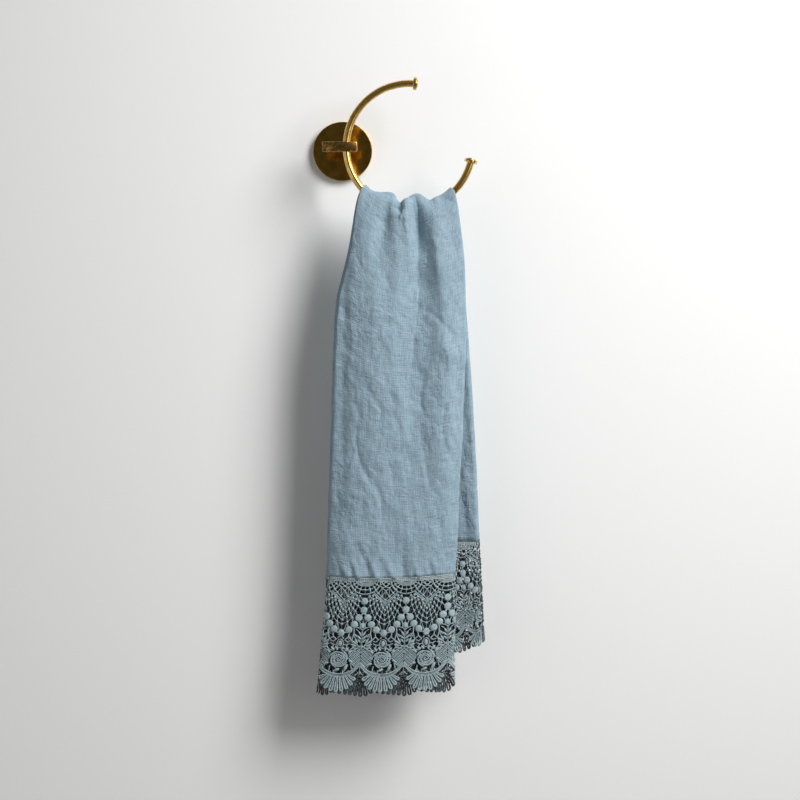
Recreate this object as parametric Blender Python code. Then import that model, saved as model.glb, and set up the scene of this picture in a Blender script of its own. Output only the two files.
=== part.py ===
"""A linen hand towel with lace ends, hung over an open brass ring on a wall plate.

The towel is folded in four along its length: one back-and-forth section of four
layers, which hangs over the ring with a longer half in front and a shorter one behind.

Frame: +Z up, +Y into the wall, +X to the right. The origin is the centre of the wall
plate's back face. All sizes below are millimetres; MM turns them to metres.
"""

import math

import bmesh
import bpy
from mathutils import Matrix, Vector

MM = 0.001
GAP = 0.3  # between pieces that touch

# ---- the brass holder -------------------------------------------------------------
PLATE_DIAMETER = 53.0
PLATE_DEPTH = 5.0
PLATE_EDGE = 0.6
STEM_DIAMETER = 8.0
BAR_WIDTH = 30.6
BAR_HEIGHT = 8.5
BAR_DEPTH = 11.0
BAR_EDGE = 0.7
BAR_BORE = 7.4  # the ring passes through it
ROD_DIAMETER = 6.35
RING_RADIUS = 55.7  # to the middle of the rod
RING_X = 61.4  # the middle of the ring
RING_Y = -48.0
ROD_SIDES = 12
RING_STEPS = 36
RING_START = 86.7  # degrees from +X; the rod runs from here over the left side
RING_END = 344.7
CAP_DIAMETER = 11.3
CAP_DEPTH = 2.9
CAP_BOSS_DIAMETER = 7.0
CAP_BOSS_DEPTH = 0.9

# ---- the towel --------------------------------------------------------------------
SHEET = 1.0  # thickness of linen and lace
FACE_WIDTH = 107.0  # the flat part of each of the four layers
FREE_EDGE = 5.5  # the two hems reach this far past the left fold
FREE_AT_ROD = 0.1  # the share of it left where the rod draws the cloth together
PITCH_AT_ROD = 1.4  # from the middle of one layer to the next
PITCH_BELOW = 1.9
LAYERS = 4
LACE_DEPTH = 101.0
LAYER_DROP = 1.2  # each inner layer ends this much lower
FRONT_SEAM = -378.7  # height of the seam at its left end, in front
FRONT_SEAM_RISE = 3.0  # to the right end
FRONT_SEAM_SAG = 9.0
BACK_SEAM = -344.2
BACK_END_LIFT = 9.0  # the lace behind rises this much at its right fold
LIFT_POWER = 10
FRONT_SWELL = 7.0  # the front half is rounded towards the viewer
BACK_SWELL = 4.0
FRONT_GATHER = 1.0  # share of the gathers' depth that each half keeps
BACK_GATHER = 0.5

# How the folded cloth is gathered on the rod, left to right: its share of the width,
# the place on the ring in degrees from the lowest point, how far it stands off
# the rod, and how far it comes forward just under it.
GATHERS = (
    # share, angle, rise, depth
    (0.00, -48.2, 0.0, 0.0),
    (0.12, -41.5, 0.2, 1.5),
    (0.22, -33.0, 1.8, 0.6),
    (0.31, -23.0, 4.6, -0.6),
    (0.38, -16.0, 3.9, 2.0),
    (0.44, -10.0, 0.9, 1.4),
    (0.49, -5.2, 0.6, 1.6),
    (0.56, 0.0, 4.4, 2.9),
    (0.61, 6.8, 6.2, 2.2),
    (0.66, 12.8, 5.3, -1.4),
    (0.74, 19.4, 1.5, 0.8),
    (0.81, 26.0, 0.7, 2.6),
    (0.90, 34.5, 0.1, -0.2),
    (1.00, 44.6, 0.0, 0.8),
)
SHARE, ANGLE, RISE, DEPTH = range(4)

# The outline of the hanging halves: height, then the left and right side.
FRONT_OUTLINE = (
    (-55.0, 1.1, 108.9),
    (-136.0, 1.1, 109.2),
    (-171.0, 0.6, 109.8),
    (-257.0, -2.4, 106.4),
    (-377.0, -6.6, 100.8),
    (-481.0, -17.0, 100.4),
)
BACK_OUTLINE = (
    (-55.0, 1.5, 108.5),
    (-136.0, 2.0, 109.0),
    (-203.0, 5.6, 113.8),
    (-257.0, 8.6, 117.0),
    (-349.0, 14.0, 121.3),
    (-450.0, 17.0, 127.4),
)
HEIGHT, LEFT, RIGHT = range(3)

# How soon the cloth spreads from the ring to that outline: drop below the rod, share.
SPREAD = ((0.0, 0.0), (10.0, 0.26), (29.0, 0.53), (59.0, 0.88), (95.0, 1.0), (500.0, 1.0))
DROP, EASE = range(2)

# Rows of the linen's mesh, as shares of each stretch.
FRONT_ROWS = (1.0, 0.75, 0.5, 0.31, 0.185, 0.11, 0.063, 0.028)
ROD_ROWS = 6
BACK_ROWS = (0.03, 0.07, 0.15, 0.32, 0.62, 1.0)
WIDE_FOLD_STEPS = 4
TIGHT_FOLD_STEPS = 3
COLUMN_MERGE = 0.2  # columns nearer than this are one

# ---- the lace pattern -------------------------------------------------------------
SEAM_GAP = 0.5  # between the linen's edge and the lace's
REPEAT = 34.9
FRONT_FIRST_FAN = 4.2  # from the free edge to the first fan's middle, along the cloth
BACK_FIRST_FAN = 12.2
FAN_HALF_WIDTH = 17.1
FAN_TOP = 87.3  # below the seam, where two fans meet
FAN_STEPS = 5
LACE_COLUMNS = 5
SNAP = 0.4  # a crease takes in the corners of the pattern that lie this near it

# The gaps wider than 4 mm on each side of a fan's middle: distance from it, distance
# below the seam, half width, half height and lean in degrees.
GAPS = (
    # across, down, half width, half height, lean
    (7.7, 57.6, 2.8, 3.2, 12.0),
    (10.3, 79.4, 2.9, 2.3, -32.0),
    (14.1, 84.4, 2.3, 2.2, 25.0),
)
GAP_SIDES = 6
GAP_MARGIN = 1.3  # a gap this near a fold or a free edge is left closed
EDGE_MARGIN = 0.5  # the scallops' corners stay this far inside the free edges

# ---- mesh settings ----------------------------------------------------------------
DISC_SIDES = 48
TURNED_SIDES = 24  # the stem, the bar's bore and the caps
BEVEL_ANGLE = 50.0
SHARP_METAL = 35.0
SHARP_CLOTH = 60.0
WELD = 0.001


def smooth(table, key, column, at):
    """A table's column at any value of its key column, on a smooth curve."""
    rows = sorted(table, key=lambda row: row[key])
    at = min(max(at, rows[0][key]), rows[-1][key])
    i = 0
    while i < len(rows) - 2 and at > rows[i + 1][key]:
        i += 1

    def slope(j):
        a = rows[max(j - 1, 0)]
        b = rows[min(j + 1, len(rows) - 1)]
        return (b[column] - a[column]) / (b[key] - a[key])

    low, high = rows[i], rows[i + 1]
    span = high[key] - low[key]
    t = (at - low[key]) / span
    rise = high[column] - low[column]
    bend_low = slope(i) * span - rise
    bend_high = rise - slope(i + 1) * span
    return low[column] + t * rise + t * (1 - t) * ((1 - t) * bend_low + t * bend_high)


# ---- the hanging form -------------------------------------------------------------
ROD = ROD_DIAMETER / 2
SEAT = 0.4  # the innermost layer's clearance over the rod
STACK = SEAT + SHEET / 2 + (LAYERS - 1) * PITCH_AT_ROD  # rod to the outer layer
HALF_LENGTH = 330.0  # from the rod down to the seam in front, roughly
GATHER_TOP = 9.0  # drop below the rod where a gather stands out most
GATHER_FADE = 75.0  # drop over which it fades to a third
GATHER_DRIFT = 0.07  # the share of the width it moves to the right by then
DRIFT_DROP = 60.0
RISE_FADE = 25.0
FORWARD_SHARE = 0.5  # a gather stands forward of the rod by this share of its rise
PROBE = 0.002  # step used to find the cloth's directions


def depth_below_rod(share, drop):
    """How far a gather comes forward: full just under the rod, and gone lower down."""
    grows = min(drop / GATHER_TOP, 1.0)
    fades = math.exp(-max(drop - GATHER_TOP, 0.0) / GATHER_FADE)
    drift = GATHER_DRIFT * min(drop / DRIFT_DROP, 1.0) * math.sin(math.pi * share)
    return grows * fades * smooth(GATHERS, SHARE, DEPTH, share - drift)


def hanging(share, side, down):
    """The outer layer below the rod; down is 0 at the rod, 1 at the seam, 2 at the end."""
    angle = math.radians(smooth(GATHERS, SHARE, ANGLE, share))
    rise = smooth(GATHERS, SHARE, RISE, share)
    top = -RING_RADIUS * math.cos(angle)
    start = RING_X + RING_RADIUS * math.sin(angle)
    if side < 0:
        outline, swell, gather = FRONT_OUTLINE, FRONT_SWELL, FRONT_GATHER
        seam = FRONT_SEAM + FRONT_SEAM_RISE * share - FRONT_SEAM_SAG * share * (1 - share)
    else:
        outline, swell, gather = BACK_OUTLINE, BACK_SWELL, BACK_GATHER
        seam = BACK_SEAM
    beyond = max(down - 1.0, 0.0)
    z = top + (seam - top) * min(down, 1.0) - LACE_DEPTH * beyond
    if side > 0:
        z += BACK_END_LIFT * beyond * share ** LIFT_POWER
    drop = top - z
    left = smooth(outline, HEIGHT, LEFT, z)
    right = smooth(outline, HEIGHT, RIGHT, z)
    ease = smooth(SPREAD, DROP, EASE, drop)
    x = start + (left + (right - left) * share - start) * ease
    crown = 1 - (2 * share - 1) ** 2
    out = ROD + STACK
    out += FORWARD_SHARE * rise * math.exp(-drop / RISE_FADE)
    out += gather * depth_below_rod(share, drop)
    out += swell * crown * smooth(SPREAD, DROP, EASE, drop * 0.5)
    return Vector((x, RING_Y + side * out, z))


def over_rod(share, turn):
    """The outer layer over the rod; turn is 0 in front, 0.5 on top and 1 behind."""
    angle = math.radians(smooth(GATHERS, SHARE, ANGLE, share))
    rise = smooth(GATHERS, SHARE, RISE, share)
    inwards = Vector((-math.sin(angle), 0, math.cos(angle)))
    centre = Vector((RING_X, RING_Y, 0)) - inwards * RING_RADIUS
    forward = ROD + STACK + FORWARD_SHARE * rise
    upward = ROD + STACK + rise
    swing = math.pi * turn
    return centre + Vector((0, -forward * math.cos(swing), 0)) + inwards * upward * math.sin(swing)


def outer_layer(share, way):
    """way runs -2 front end, -1 front seam, 0..1 over the rod, 2 back seam, 3 back end."""
    if way < 0:
        return hanging(share, -1, -way)
    if way > 1:
        return hanging(share, 1, way - 1)
    return over_rod(share, way)


def drop_of(way):
    """Rough drop below the rod, for what changes slowly down the cloth."""
    return HALF_LENGTH * max(-way, way - 1, 0.0)


def cloth_point(share, layer, past, way):
    """A point of the folded sheet: layer 0 is outermost, past is along it beyond an edge."""
    inside = min(max(share, PROBE), 1 - PROBE)
    across = outer_layer(inside + PROBE, way) - outer_layer(inside - PROBE, way)
    along = outer_layer(share, way + PROBE) - outer_layer(share, way - PROBE)
    outwards = across.cross(along).normalized()
    relaxed = smooth(SPREAD, DROP, EASE, drop_of(way))
    pitch = PITCH_AT_ROD + (PITCH_BELOW - PITCH_AT_ROD) * relaxed
    point = outer_layer(share, way) - outwards * layer * pitch
    if layer >= 2 and past < 0:
        point += across.normalized() * past * (FREE_AT_ROD + (1 - FREE_AT_ROD) * relaxed)
    else:
        point += across.normalized() * past * pitch / PITCH_BELOW
    point.z -= LAYER_DROP * layer * min(drop_of(way) / HALF_LENGTH, 1.0)
    return point


# The section from one free edge to the other, as stretches of the flat cloth.
WIDE_FOLD = 1.5 * PITCH_BELOW
TIGHT_FOLD = 0.5 * PITCH_BELOW
HEMMED = FACE_WIDTH + FREE_EDGE
STRETCHES = (
    # kind, length, layer it starts on, layer it ends on, radius
    ("to_right", HEMMED, 3, 3, 0.0),
    ("right_fold", math.pi * WIDE_FOLD, 3, 0, WIDE_FOLD),
    ("to_left", FACE_WIDTH, 0, 0, 0.0),
    ("left_fold", math.pi * TIGHT_FOLD, 0, 1, TIGHT_FOLD),
    ("to_right", FACE_WIDTH, 1, 1, 0.0),
    ("right_fold", math.pi * TIGHT_FOLD, 1, 2, TIGHT_FOLD),
    ("to_left", HEMMED, 2, 2, 0.0),
)
WIDTH = sum(stretch[1] for stretch in STRETCHES)


def in_section(at):
    """Where a distance along the flat width lies in the fold: share, layer, past an edge."""
    at = min(max(at, 0.0), WIDTH)
    for kind, length, first, last, radius in STRETCHES:
        if at <= length or last == 2 and kind == "to_left":
            break
        at -= length
    if kind == "to_right":
        place = at - (length - FACE_WIDTH)
        return max(place, 0.0) / FACE_WIDTH, first, min(place, 0.0)
    if kind == "to_left":
        place = FACE_WIDTH - at
        return max(place, 0.0) / FACE_WIDTH, first, min(place, 0.0)
    turn = math.pi * min(at / length, 1.0)
    layer = (first + last) / 2 + (first - last) / 2 * math.cos(turn)
    past = radius * math.sin(turn)
    if kind == "right_fold":
        return 1.0, layer, past
    return 0.0, layer, -past


def section_columns(face_columns):
    """Distances along the flat width where the mesh has a column."""
    columns = [0.0]
    start = 0.0
    for kind, length, first, last, radius in STRETCHES:
        if kind.endswith("fold"):
            steps = WIDE_FOLD_STEPS if radius == WIDE_FOLD else TIGHT_FOLD_STEPS
            columns += [start + length * k / steps for k in range(1, steps + 1)]
        else:
            shares = face_columns if kind == "to_right" else [1 - s for s in reversed(face_columns)]
            margin = length - FACE_WIDTH
            offset = margin if kind == "to_right" else 0.0
            columns += [start + offset + FACE_WIDTH * s for s in shares]
            if margin and kind == "to_left":
                columns.append(start + length)
        start += length
    kept = []
    for column in sorted(columns):
        if not kept or column - kept[-1] > COLUMN_MERGE:
            kept.append(column)
    return kept


# ---- scene tools ------------------------------------------------------------------
def start_empty():
    for thing in list(bpy.data.objects):
        bpy.data.objects.remove(thing, do_unlink=True)


def finish_of(name, colour, roughness, metallic):
    material = bpy.data.materials.new(name)
    material.use_nodes = True
    shader = material.node_tree.nodes["Principled BSDF"]
    shader.inputs["Base Color"].default_value = (*colour, 1.0)
    shader.inputs["Roughness"].default_value = roughness
    shader.inputs["Metallic"].default_value = metallic
    return material


def add_piece(name, bm, material, smooth_angle=SHARP_METAL):
    """A named object from a bmesh in millimetres."""
    bmesh.ops.scale(bm, vec=(MM, MM, MM), verts=bm.verts)
    mesh = bpy.data.meshes.new(name)
    bm.to_mesh(mesh)
    bm.free()
    mesh.shade_smooth()
    mesh.set_sharp_from_angle(angle=math.radians(smooth_angle))
    mesh.materials.append(material)
    piece = bpy.data.objects.new(name, mesh)
    bpy.context.scene.collection.objects.link(piece)
    return piece


def add_bevel(piece, width):
    bevel = piece.modifiers.new("edge", "BEVEL")
    bevel.width = width * MM
    bevel.segments = 1
    bevel.limit_method = "ANGLE"
    bevel.angle_limit = math.radians(BEVEL_ANGLE)


def round_bar(diameter, depth, sides):
    """A solid cylinder along Y with its front at y = 0 and its back at y = depth."""
    bm = bmesh.new()
    bmesh.ops.create_cone(
        bm, cap_ends=True, segments=sides, radius1=diameter / 2, radius2=diameter / 2, depth=depth
    )
    turn = Matrix.Rotation(math.radians(90), 4, "X")
    bmesh.ops.transform(bm, matrix=turn, verts=bm.verts)
    bmesh.ops.translate(bm, vec=(0, depth / 2, 0), verts=bm.verts)
    return bm


# ---- the holder's pieces ----------------------------------------------------------
def make_wall_plate(material):
    bm = round_bar(PLATE_DIAMETER, PLATE_DEPTH, DISC_SIDES)
    bmesh.ops.translate(bm, vec=(0, -PLATE_DEPTH, 0), verts=bm.verts)
    plate = add_piece("wall_plate", bm, material)
    add_bevel(plate, PLATE_EDGE)


def make_stem(material):
    bar_back = RING_Y + BAR_DEPTH / 2
    length = -PLATE_DEPTH - bar_back - 2 * GAP
    bm = round_bar(STEM_DIAMETER, length, TURNED_SIDES)
    bmesh.ops.translate(bm, vec=(0, bar_back + GAP, 0), verts=bm.verts)
    add_piece("stem", bm, material)


def make_clamp_bar(material):
    bm = bmesh.new()
    bmesh.ops.create_cube(bm, size=1.0)
    bmesh.ops.scale(bm, vec=(BAR_WIDTH, BAR_DEPTH, BAR_HEIGHT), verts=bm.verts)
    bmesh.ops.translate(bm, vec=(0, RING_Y, 0), verts=bm.verts)
    bar = add_piece("clamp_bar", bm, material)
    add_bevel(bar, BAR_EDGE)
    bm = bmesh.new()
    radius = BAR_BORE / 2
    bmesh.ops.create_cone(
        bm,
        cap_ends=True,
        segments=TURNED_SIDES,
        radius1=radius,
        radius2=radius,
        depth=BAR_HEIGHT * 2,
    )
    bmesh.ops.translate(bm, vec=(RING_X - RING_RADIUS, RING_Y, 0), verts=bm.verts)
    bore = add_piece("bar_bore_cutter", bm, material)
    bore.hide_render = True
    bore.display_type = "WIRE"
    cut = bar.modifiers.new("bore", "BOOLEAN")
    cut.operation = "DIFFERENCE"
    cut.object = bore


def make_ring(material):
    """The rod, its circle spun round the middle of the ring."""
    bm = bmesh.new()
    profile = []
    for k in range(ROD_SIDES):
        turn = 2 * math.pi * k / ROD_SIDES
        profile.append(bm.verts.new((RING_RADIUS + ROD * math.cos(turn), ROD * math.sin(turn), 0)))
    face = bm.faces.new(profile)
    bmesh.ops.rotate(
        bm, verts=bm.verts, cent=(0, 0, 0), matrix=Matrix.Rotation(math.radians(-RING_START), 3, "Y")
    )
    bmesh.ops.spin(
        bm,
        geom=[face],
        cent=(0, 0, 0),
        axis=(0, 1, 0),
        angle=math.radians(RING_START - RING_END),
        steps=RING_STEPS,
        use_duplicate=False,
    )
    bmesh.ops.remove_doubles(bm, verts=bm.verts, dist=WELD)
    bmesh.ops.recalc_face_normals(bm, faces=bm.faces)
    bmesh.ops.translate(bm, vec=(RING_X, RING_Y, 0), verts=bm.verts)
    add_piece("ring", bm, material)


def make_end_cap(name, angle, outwards, material):
    """A turned disc with a low boss, on the end of the rod at an angle of the ring."""
    profile = (
        (0.0, GAP),
        (CAP_DIAMETER / 2, GAP),
        (CAP_DIAMETER / 2, GAP + CAP_DEPTH),
        (CAP_BOSS_DIAMETER / 2, GAP + CAP_DEPTH),
        (CAP_BOSS_DIAMETER / 2, GAP + CAP_DEPTH + CAP_BOSS_DEPTH),
        (0.0, GAP + CAP_DEPTH + CAP_BOSS_DEPTH),
    )
    bm = bmesh.new()
    points = [bm.verts.new((r, 0, along)) for r, along in profile]
    edges = [bm.edges.new(pair) for pair in zip(points, points[1:])]
    bmesh.ops.spin(
        bm, geom=points + edges, cent=(0, 0, 0), axis=(0, 0, 1), angle=2 * math.pi, steps=TURNED_SIDES
    )
    bmesh.ops.remove_doubles(bm, verts=bm.verts, dist=WELD)
    bmesh.ops.recalc_face_normals(bm, faces=bm.faces)
    turn = math.radians(angle)
    radial = Vector((math.cos(turn), 0, math.sin(turn)))
    along = Vector((-math.sin(turn), 0, math.cos(turn))) * outwards
    rotation = along.to_track_quat("Z", "Y").to_matrix()
    bmesh.ops.rotate(bm, verts=bm.verts, cent=(0, 0, 0), matrix=rotation)
    place = Vector((RING_X, RING_Y, 0)) + radial * RING_RADIUS
    bmesh.ops.translate(bm, vec=place, verts=bm.verts)
    add_piece(name, bm, material)


# ---- the cloth --------------------------------------------------------------------
def thicken(piece):
    """The folded sheet's middle surface is given its thickness, half to each side."""
    solid = piece.modifiers.new("thickness", "SOLIDIFY")
    solid.thickness = SHEET * MM
    solid.offset = 0.0


def linen_ways():
    """Rows along the cloth from the front seam over the rod to the back seam."""
    ways = [-share for share in FRONT_ROWS]
    ways += [k / ROD_ROWS for k in range(ROD_ROWS + 1)]
    ways += [1 + share for share in BACK_ROWS]
    return ways


def make_linen(material):
    columns = section_columns([row[SHARE] for row in GATHERS])
    ways = linen_ways()
    bm = bmesh.new()
    grid = []
    for way in ways:
        grid.append([bm.verts.new(cloth_point(*in_section(at), way)) for at in columns])
    for lower, upper in zip(grid, grid[1:]):
        for k in range(len(columns) - 1):
            bm.faces.new((lower[k], lower[k + 1], upper[k + 1], upper[k]))
    bmesh.ops.triangulate(bm, faces=bm.faces[:])
    thicken(add_piece("linen_panel", bm, material, SHARP_CLOTH))


def fan_middles(first):
    middles = []
    middle = first - REPEAT
    while middle < WIDTH + REPEAT:
        middles.append(middle)
        middle += REPEAT
    return middles


def scalloped_edge(middles):
    """The lace's lower edge from left to right, one rounded fan for each repeat."""
    edge = []
    for middle in middles:
        for k in range(FAN_STEPS):
            turn = math.pi * k / FAN_STEPS
            across = middle - FAN_HALF_WIDTH * math.cos(turn)
            down = FAN_TOP + (LACE_DEPTH - FAN_TOP) * math.sin(turn)
            if EDGE_MARGIN < across < WIDTH - EDGE_MARGIN:
                edge.append((across, down))
    return edge


def gap_outline(across, down, half_width, half_height, lean):
    lean = math.radians(lean)
    corners = []
    for k in range(GAP_SIDES):
        turn = 2 * math.pi * (k + 0.5) / GAP_SIDES
        u = half_width * math.cos(turn) / math.cos(math.pi / GAP_SIDES)
        v = half_height * math.sin(turn) / math.cos(math.pi / GAP_SIDES)
        x = across + u * math.cos(lean) - v * math.sin(lean)
        y = down + u * math.sin(lean) + v * math.cos(lean)
        corners.append((x, y))
    return corners


def lace_loops(first_fan):
    """The flat lace's outline and the outlines of its large gaps."""
    middles = fan_middles(first_fan)
    edge = scalloped_edge(middles)
    bottom_left = (0.0, edge[0][1])
    bottom_right = (WIDTH, edge[-1][1])
    loops = [[(WIDTH, SEAM_GAP), (0.0, SEAM_GAP), bottom_left, *edge, bottom_right]]
    for middle in middles:
        for across, down, half_width, half_height, lean in GAPS:
            for hand in (-1, 1):
                place = middle + hand * across
                if lies_flat(place, half_width + GAP_MARGIN):
                    loops.append(gap_outline(place, down, half_width, half_height, hand * lean))
    return loops


def lies_flat(place, reach):
    """True where the pattern is clear of the folds and the free edges."""
    if place < reach or place > WIDTH - reach:
        return False
    start = 0.0
    for kind, length, first, last, radius in STRETCHES:
        if kind.endswith("fold") and start - reach < place < start + length + reach:
            return False
        start += length
    return True


def make_lace(name, side, first_fan, material):
    """The lace is cut flat with its gaps, creased where it folds, then folded and hung."""
    bm = bmesh.new()
    for loop in lace_loops(first_fan):
        points = [bm.verts.new((across, -down, 0)) for across, down in loop]
        for a, b in zip(points, points[1:] + points[:1]):
            bm.edges.new((a, b))
    bmesh.ops.triangle_fill(bm, use_beauty=True, edges=bm.edges[:], normal=(0, 0, 1))
    columns = section_columns([k / LACE_COLUMNS for k in range(LACE_COLUMNS + 1)])
    for at in columns[1:-1]:
        everything = bm.verts[:] + bm.edges[:] + bm.faces[:]
        bmesh.ops.bisect_plane(bm, geom=everything, dist=SNAP, plane_co=(at, 0, 0), plane_no=(1, 0, 0))
    bmesh.ops.triangulate(bm, faces=bm.faces[:])
    for point in bm.verts:
        share, layer, past = in_section(point.co.x)
        down = -point.co.y / LACE_DEPTH
        way = -1 - down if side < 0 else 2 + down
        point.co = cloth_point(share, layer, past, way)
    thicken(add_piece(name, bm, material, SHARP_CLOTH))


def main():
    start_empty()
    brass = finish_of("aged_polished_brass", (0.42, 0.24, 0.07), 0.22, 1.0)
    dark_brass = finish_of("darkened_brass", (0.10, 0.06, 0.025), 0.25, 1.0)
    linen = finish_of("washed_linen", (0.23, 0.32, 0.38), 0.9, 0.0)
    lace = finish_of("corded_cotton_lace", (0.25, 0.33, 0.36), 0.9, 0.0)
    make_wall_plate(dark_brass)
    make_stem(dark_brass)
    make_clamp_bar(dark_brass)
    make_ring(brass)
    make_end_cap("end_cap_top", RING_START, -1, brass)
    make_end_cap("end_cap_side", RING_END, 1, brass)
    make_linen(linen)
    make_lace("lace_front", -1, FRONT_FIRST_FAN, lace)
    make_lace("lace_back", 1, BACK_FIRST_FAN, lace)


main()
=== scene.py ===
"""A linen hand towel with lace ends on an open brass ring, dressed for rendering.

The towel is folded in four along its length, so its section is one back-and-forth
line of four layers. The cloth pieces are laid out flat, in millimetres across and down
the cut cloth, and then put on that folded and hung form, which is the source's with
finer folds and a closer left edge.
"""

import math

import bmesh
import bpy
import numpy as np
from mathutils import Matrix, Vector, noise


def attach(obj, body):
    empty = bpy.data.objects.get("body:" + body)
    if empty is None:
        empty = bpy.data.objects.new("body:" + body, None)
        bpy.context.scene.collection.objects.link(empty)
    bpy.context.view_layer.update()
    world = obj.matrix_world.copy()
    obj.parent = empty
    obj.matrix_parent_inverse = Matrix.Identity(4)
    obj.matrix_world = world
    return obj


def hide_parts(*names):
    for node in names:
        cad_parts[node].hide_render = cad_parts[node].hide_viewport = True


bl_info = {
    "name": "Hand towel on a ring",
    "version": (1, 0, 0),
    "blender": (4, 5, 0),
    "location": "3D view > Sidebar > Hand towel",
    "description": "Builds a folded linen hand towel with lace ends on a brass ring",
    "category": "Add Mesh",
}

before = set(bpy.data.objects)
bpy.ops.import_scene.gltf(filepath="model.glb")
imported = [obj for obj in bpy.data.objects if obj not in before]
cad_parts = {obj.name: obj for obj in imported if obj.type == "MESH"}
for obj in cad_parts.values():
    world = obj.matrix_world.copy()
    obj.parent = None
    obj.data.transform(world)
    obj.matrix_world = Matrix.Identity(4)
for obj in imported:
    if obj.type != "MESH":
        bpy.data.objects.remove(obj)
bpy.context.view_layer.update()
MM = 0.001

# ---- the holder, in millimetres, as the frame has it
PLATE_DIAMETER = 53.0
PLATE_DEPTH = 5.0
PLATE_EDGE = 0.35
PLATE_BACK_EDGE = 0.3
STEM_DIAMETER = 8.0
BAR_WIDTH = 30.6
BAR_HEIGHT = 8.5
BAR_DEPTH = 11.0
BAR_BORE = 7.0
BAR_EDGE = 0.8
ROD_DIAMETER = 6.35
RING_RADIUS = 55.7
RING_X = 61.4
RING_Y = -48.0
RING_START = 86.7
RING_END = 344.7
CAP_DIAMETER = 11.3
CAP_DEPTH = 2.9
CAP_EDGE = 0.35
CAP_BOSS_DIAMETER = 7.0
CAP_BOSS_DEPTH = 0.9
CAP_BOSS_EDGE = 0.3
GAP = 0.3

# ---- the towel
SHEET = 0.36  # linen of this weight is about a third of a millimetre thick
FACE_WIDTH = 107.0
FREE_EDGE = 5.5
FREE_AT_ROD = 0.1
SEAT = 0.15
PITCH_AT_ROD = 0.45  # the four layers lie tight on the rod
PITCH_BELOW = 1.9
PITCH_AT_END = 3.6  # and hang further apart towards the lace's free end
LAYERS = 4
LACE_DEPTH = 101.0
LAYER_DROP = 1.5
FRONT_SEAM = -378.7
FRONT_SEAM_RISE = 3.0
FRONT_SEAM_SAG = 9.0
BACK_SEAM = -344.2
BACK_END_LIFT = 9.0
LIFT_POWER = 10
FRONT_SWELL = 8.0
BACK_SWELL = 4.5
CROWN_POWER = 4  # flat in the middle and rounded towards the edges

# How the folded cloth is gathered on the rod, left to right.
GATHERS = (
    # share of the width, degrees from the ring's lowest point, rise off the rod
    (0, -48.6, 0), (0.07, -45.2, 0), (0.12, -41.5, 0.1), (0.17, -37.4, 1.3), (0.22, -33, 3.2),
    (0.27, -27.6, 5.8), (0.31, -23, 7.3), (0.345, -19.4, 7.4), (0.38, -16.2, 6.2), (0.41, -13.2, 3.2),
    (0.44, -10.4, 0.2), (0.475, -7.4, -0.4), (0.5, -5.2, 0), (0.525, -3.2, 2.6), (0.56, 0, 6.8),
    (0.61, 6.8, 9), (0.66, 12.8, 7.9), (0.7, 16.8, 4.4), (0.74, 19.6, 1.2), (0.77, 22.2, 0.3),
    (0.81, 26.4, 0.8), (0.855, 30.6, 0.4), (0.9, 34.8, 0), (1, 44.6, 0),
)
SHARE, ANGLE, RISE = range(3)

# The outline of the hanging halves.
FRONT_OUTLINE = (
    # height, left side, right side
    (-55, 9, 108.9), (-83, 9.6, 109), (-100, 7.6, 109.1), (-118, 3.4, 109.1), (-136, -0.2, 109.2),
    (-171, -2.4, 109.8), (-257, -5, 106.4), (-330, -7.6, 103), (-377, -9.2, 100.8), (-418, -13, 100.6),
    (-481, -20, 100.4),
)
BACK_OUTLINE = (
    (-55, 10.5, 108.5), (-83, 11, 108.7), (-100, 9.2, 108.8), (-118, 6, 108.9), (-136, 4, 109),
    (-203, 5.6, 113.8), (-257, 8.6, 117), (-349, 14, 121.3), (-450, 17, 127.4),
)
HEIGHT, LEFT, RIGHT = range(3)

# How soon the cloth spreads from the ring to that outline: drop below the rod, share.
SPREAD = ((0, 0), (10, 0.26), (29, 0.53), (59, 0.88), (95, 1), (500, 1))
DROP, EASE = range(2)

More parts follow.
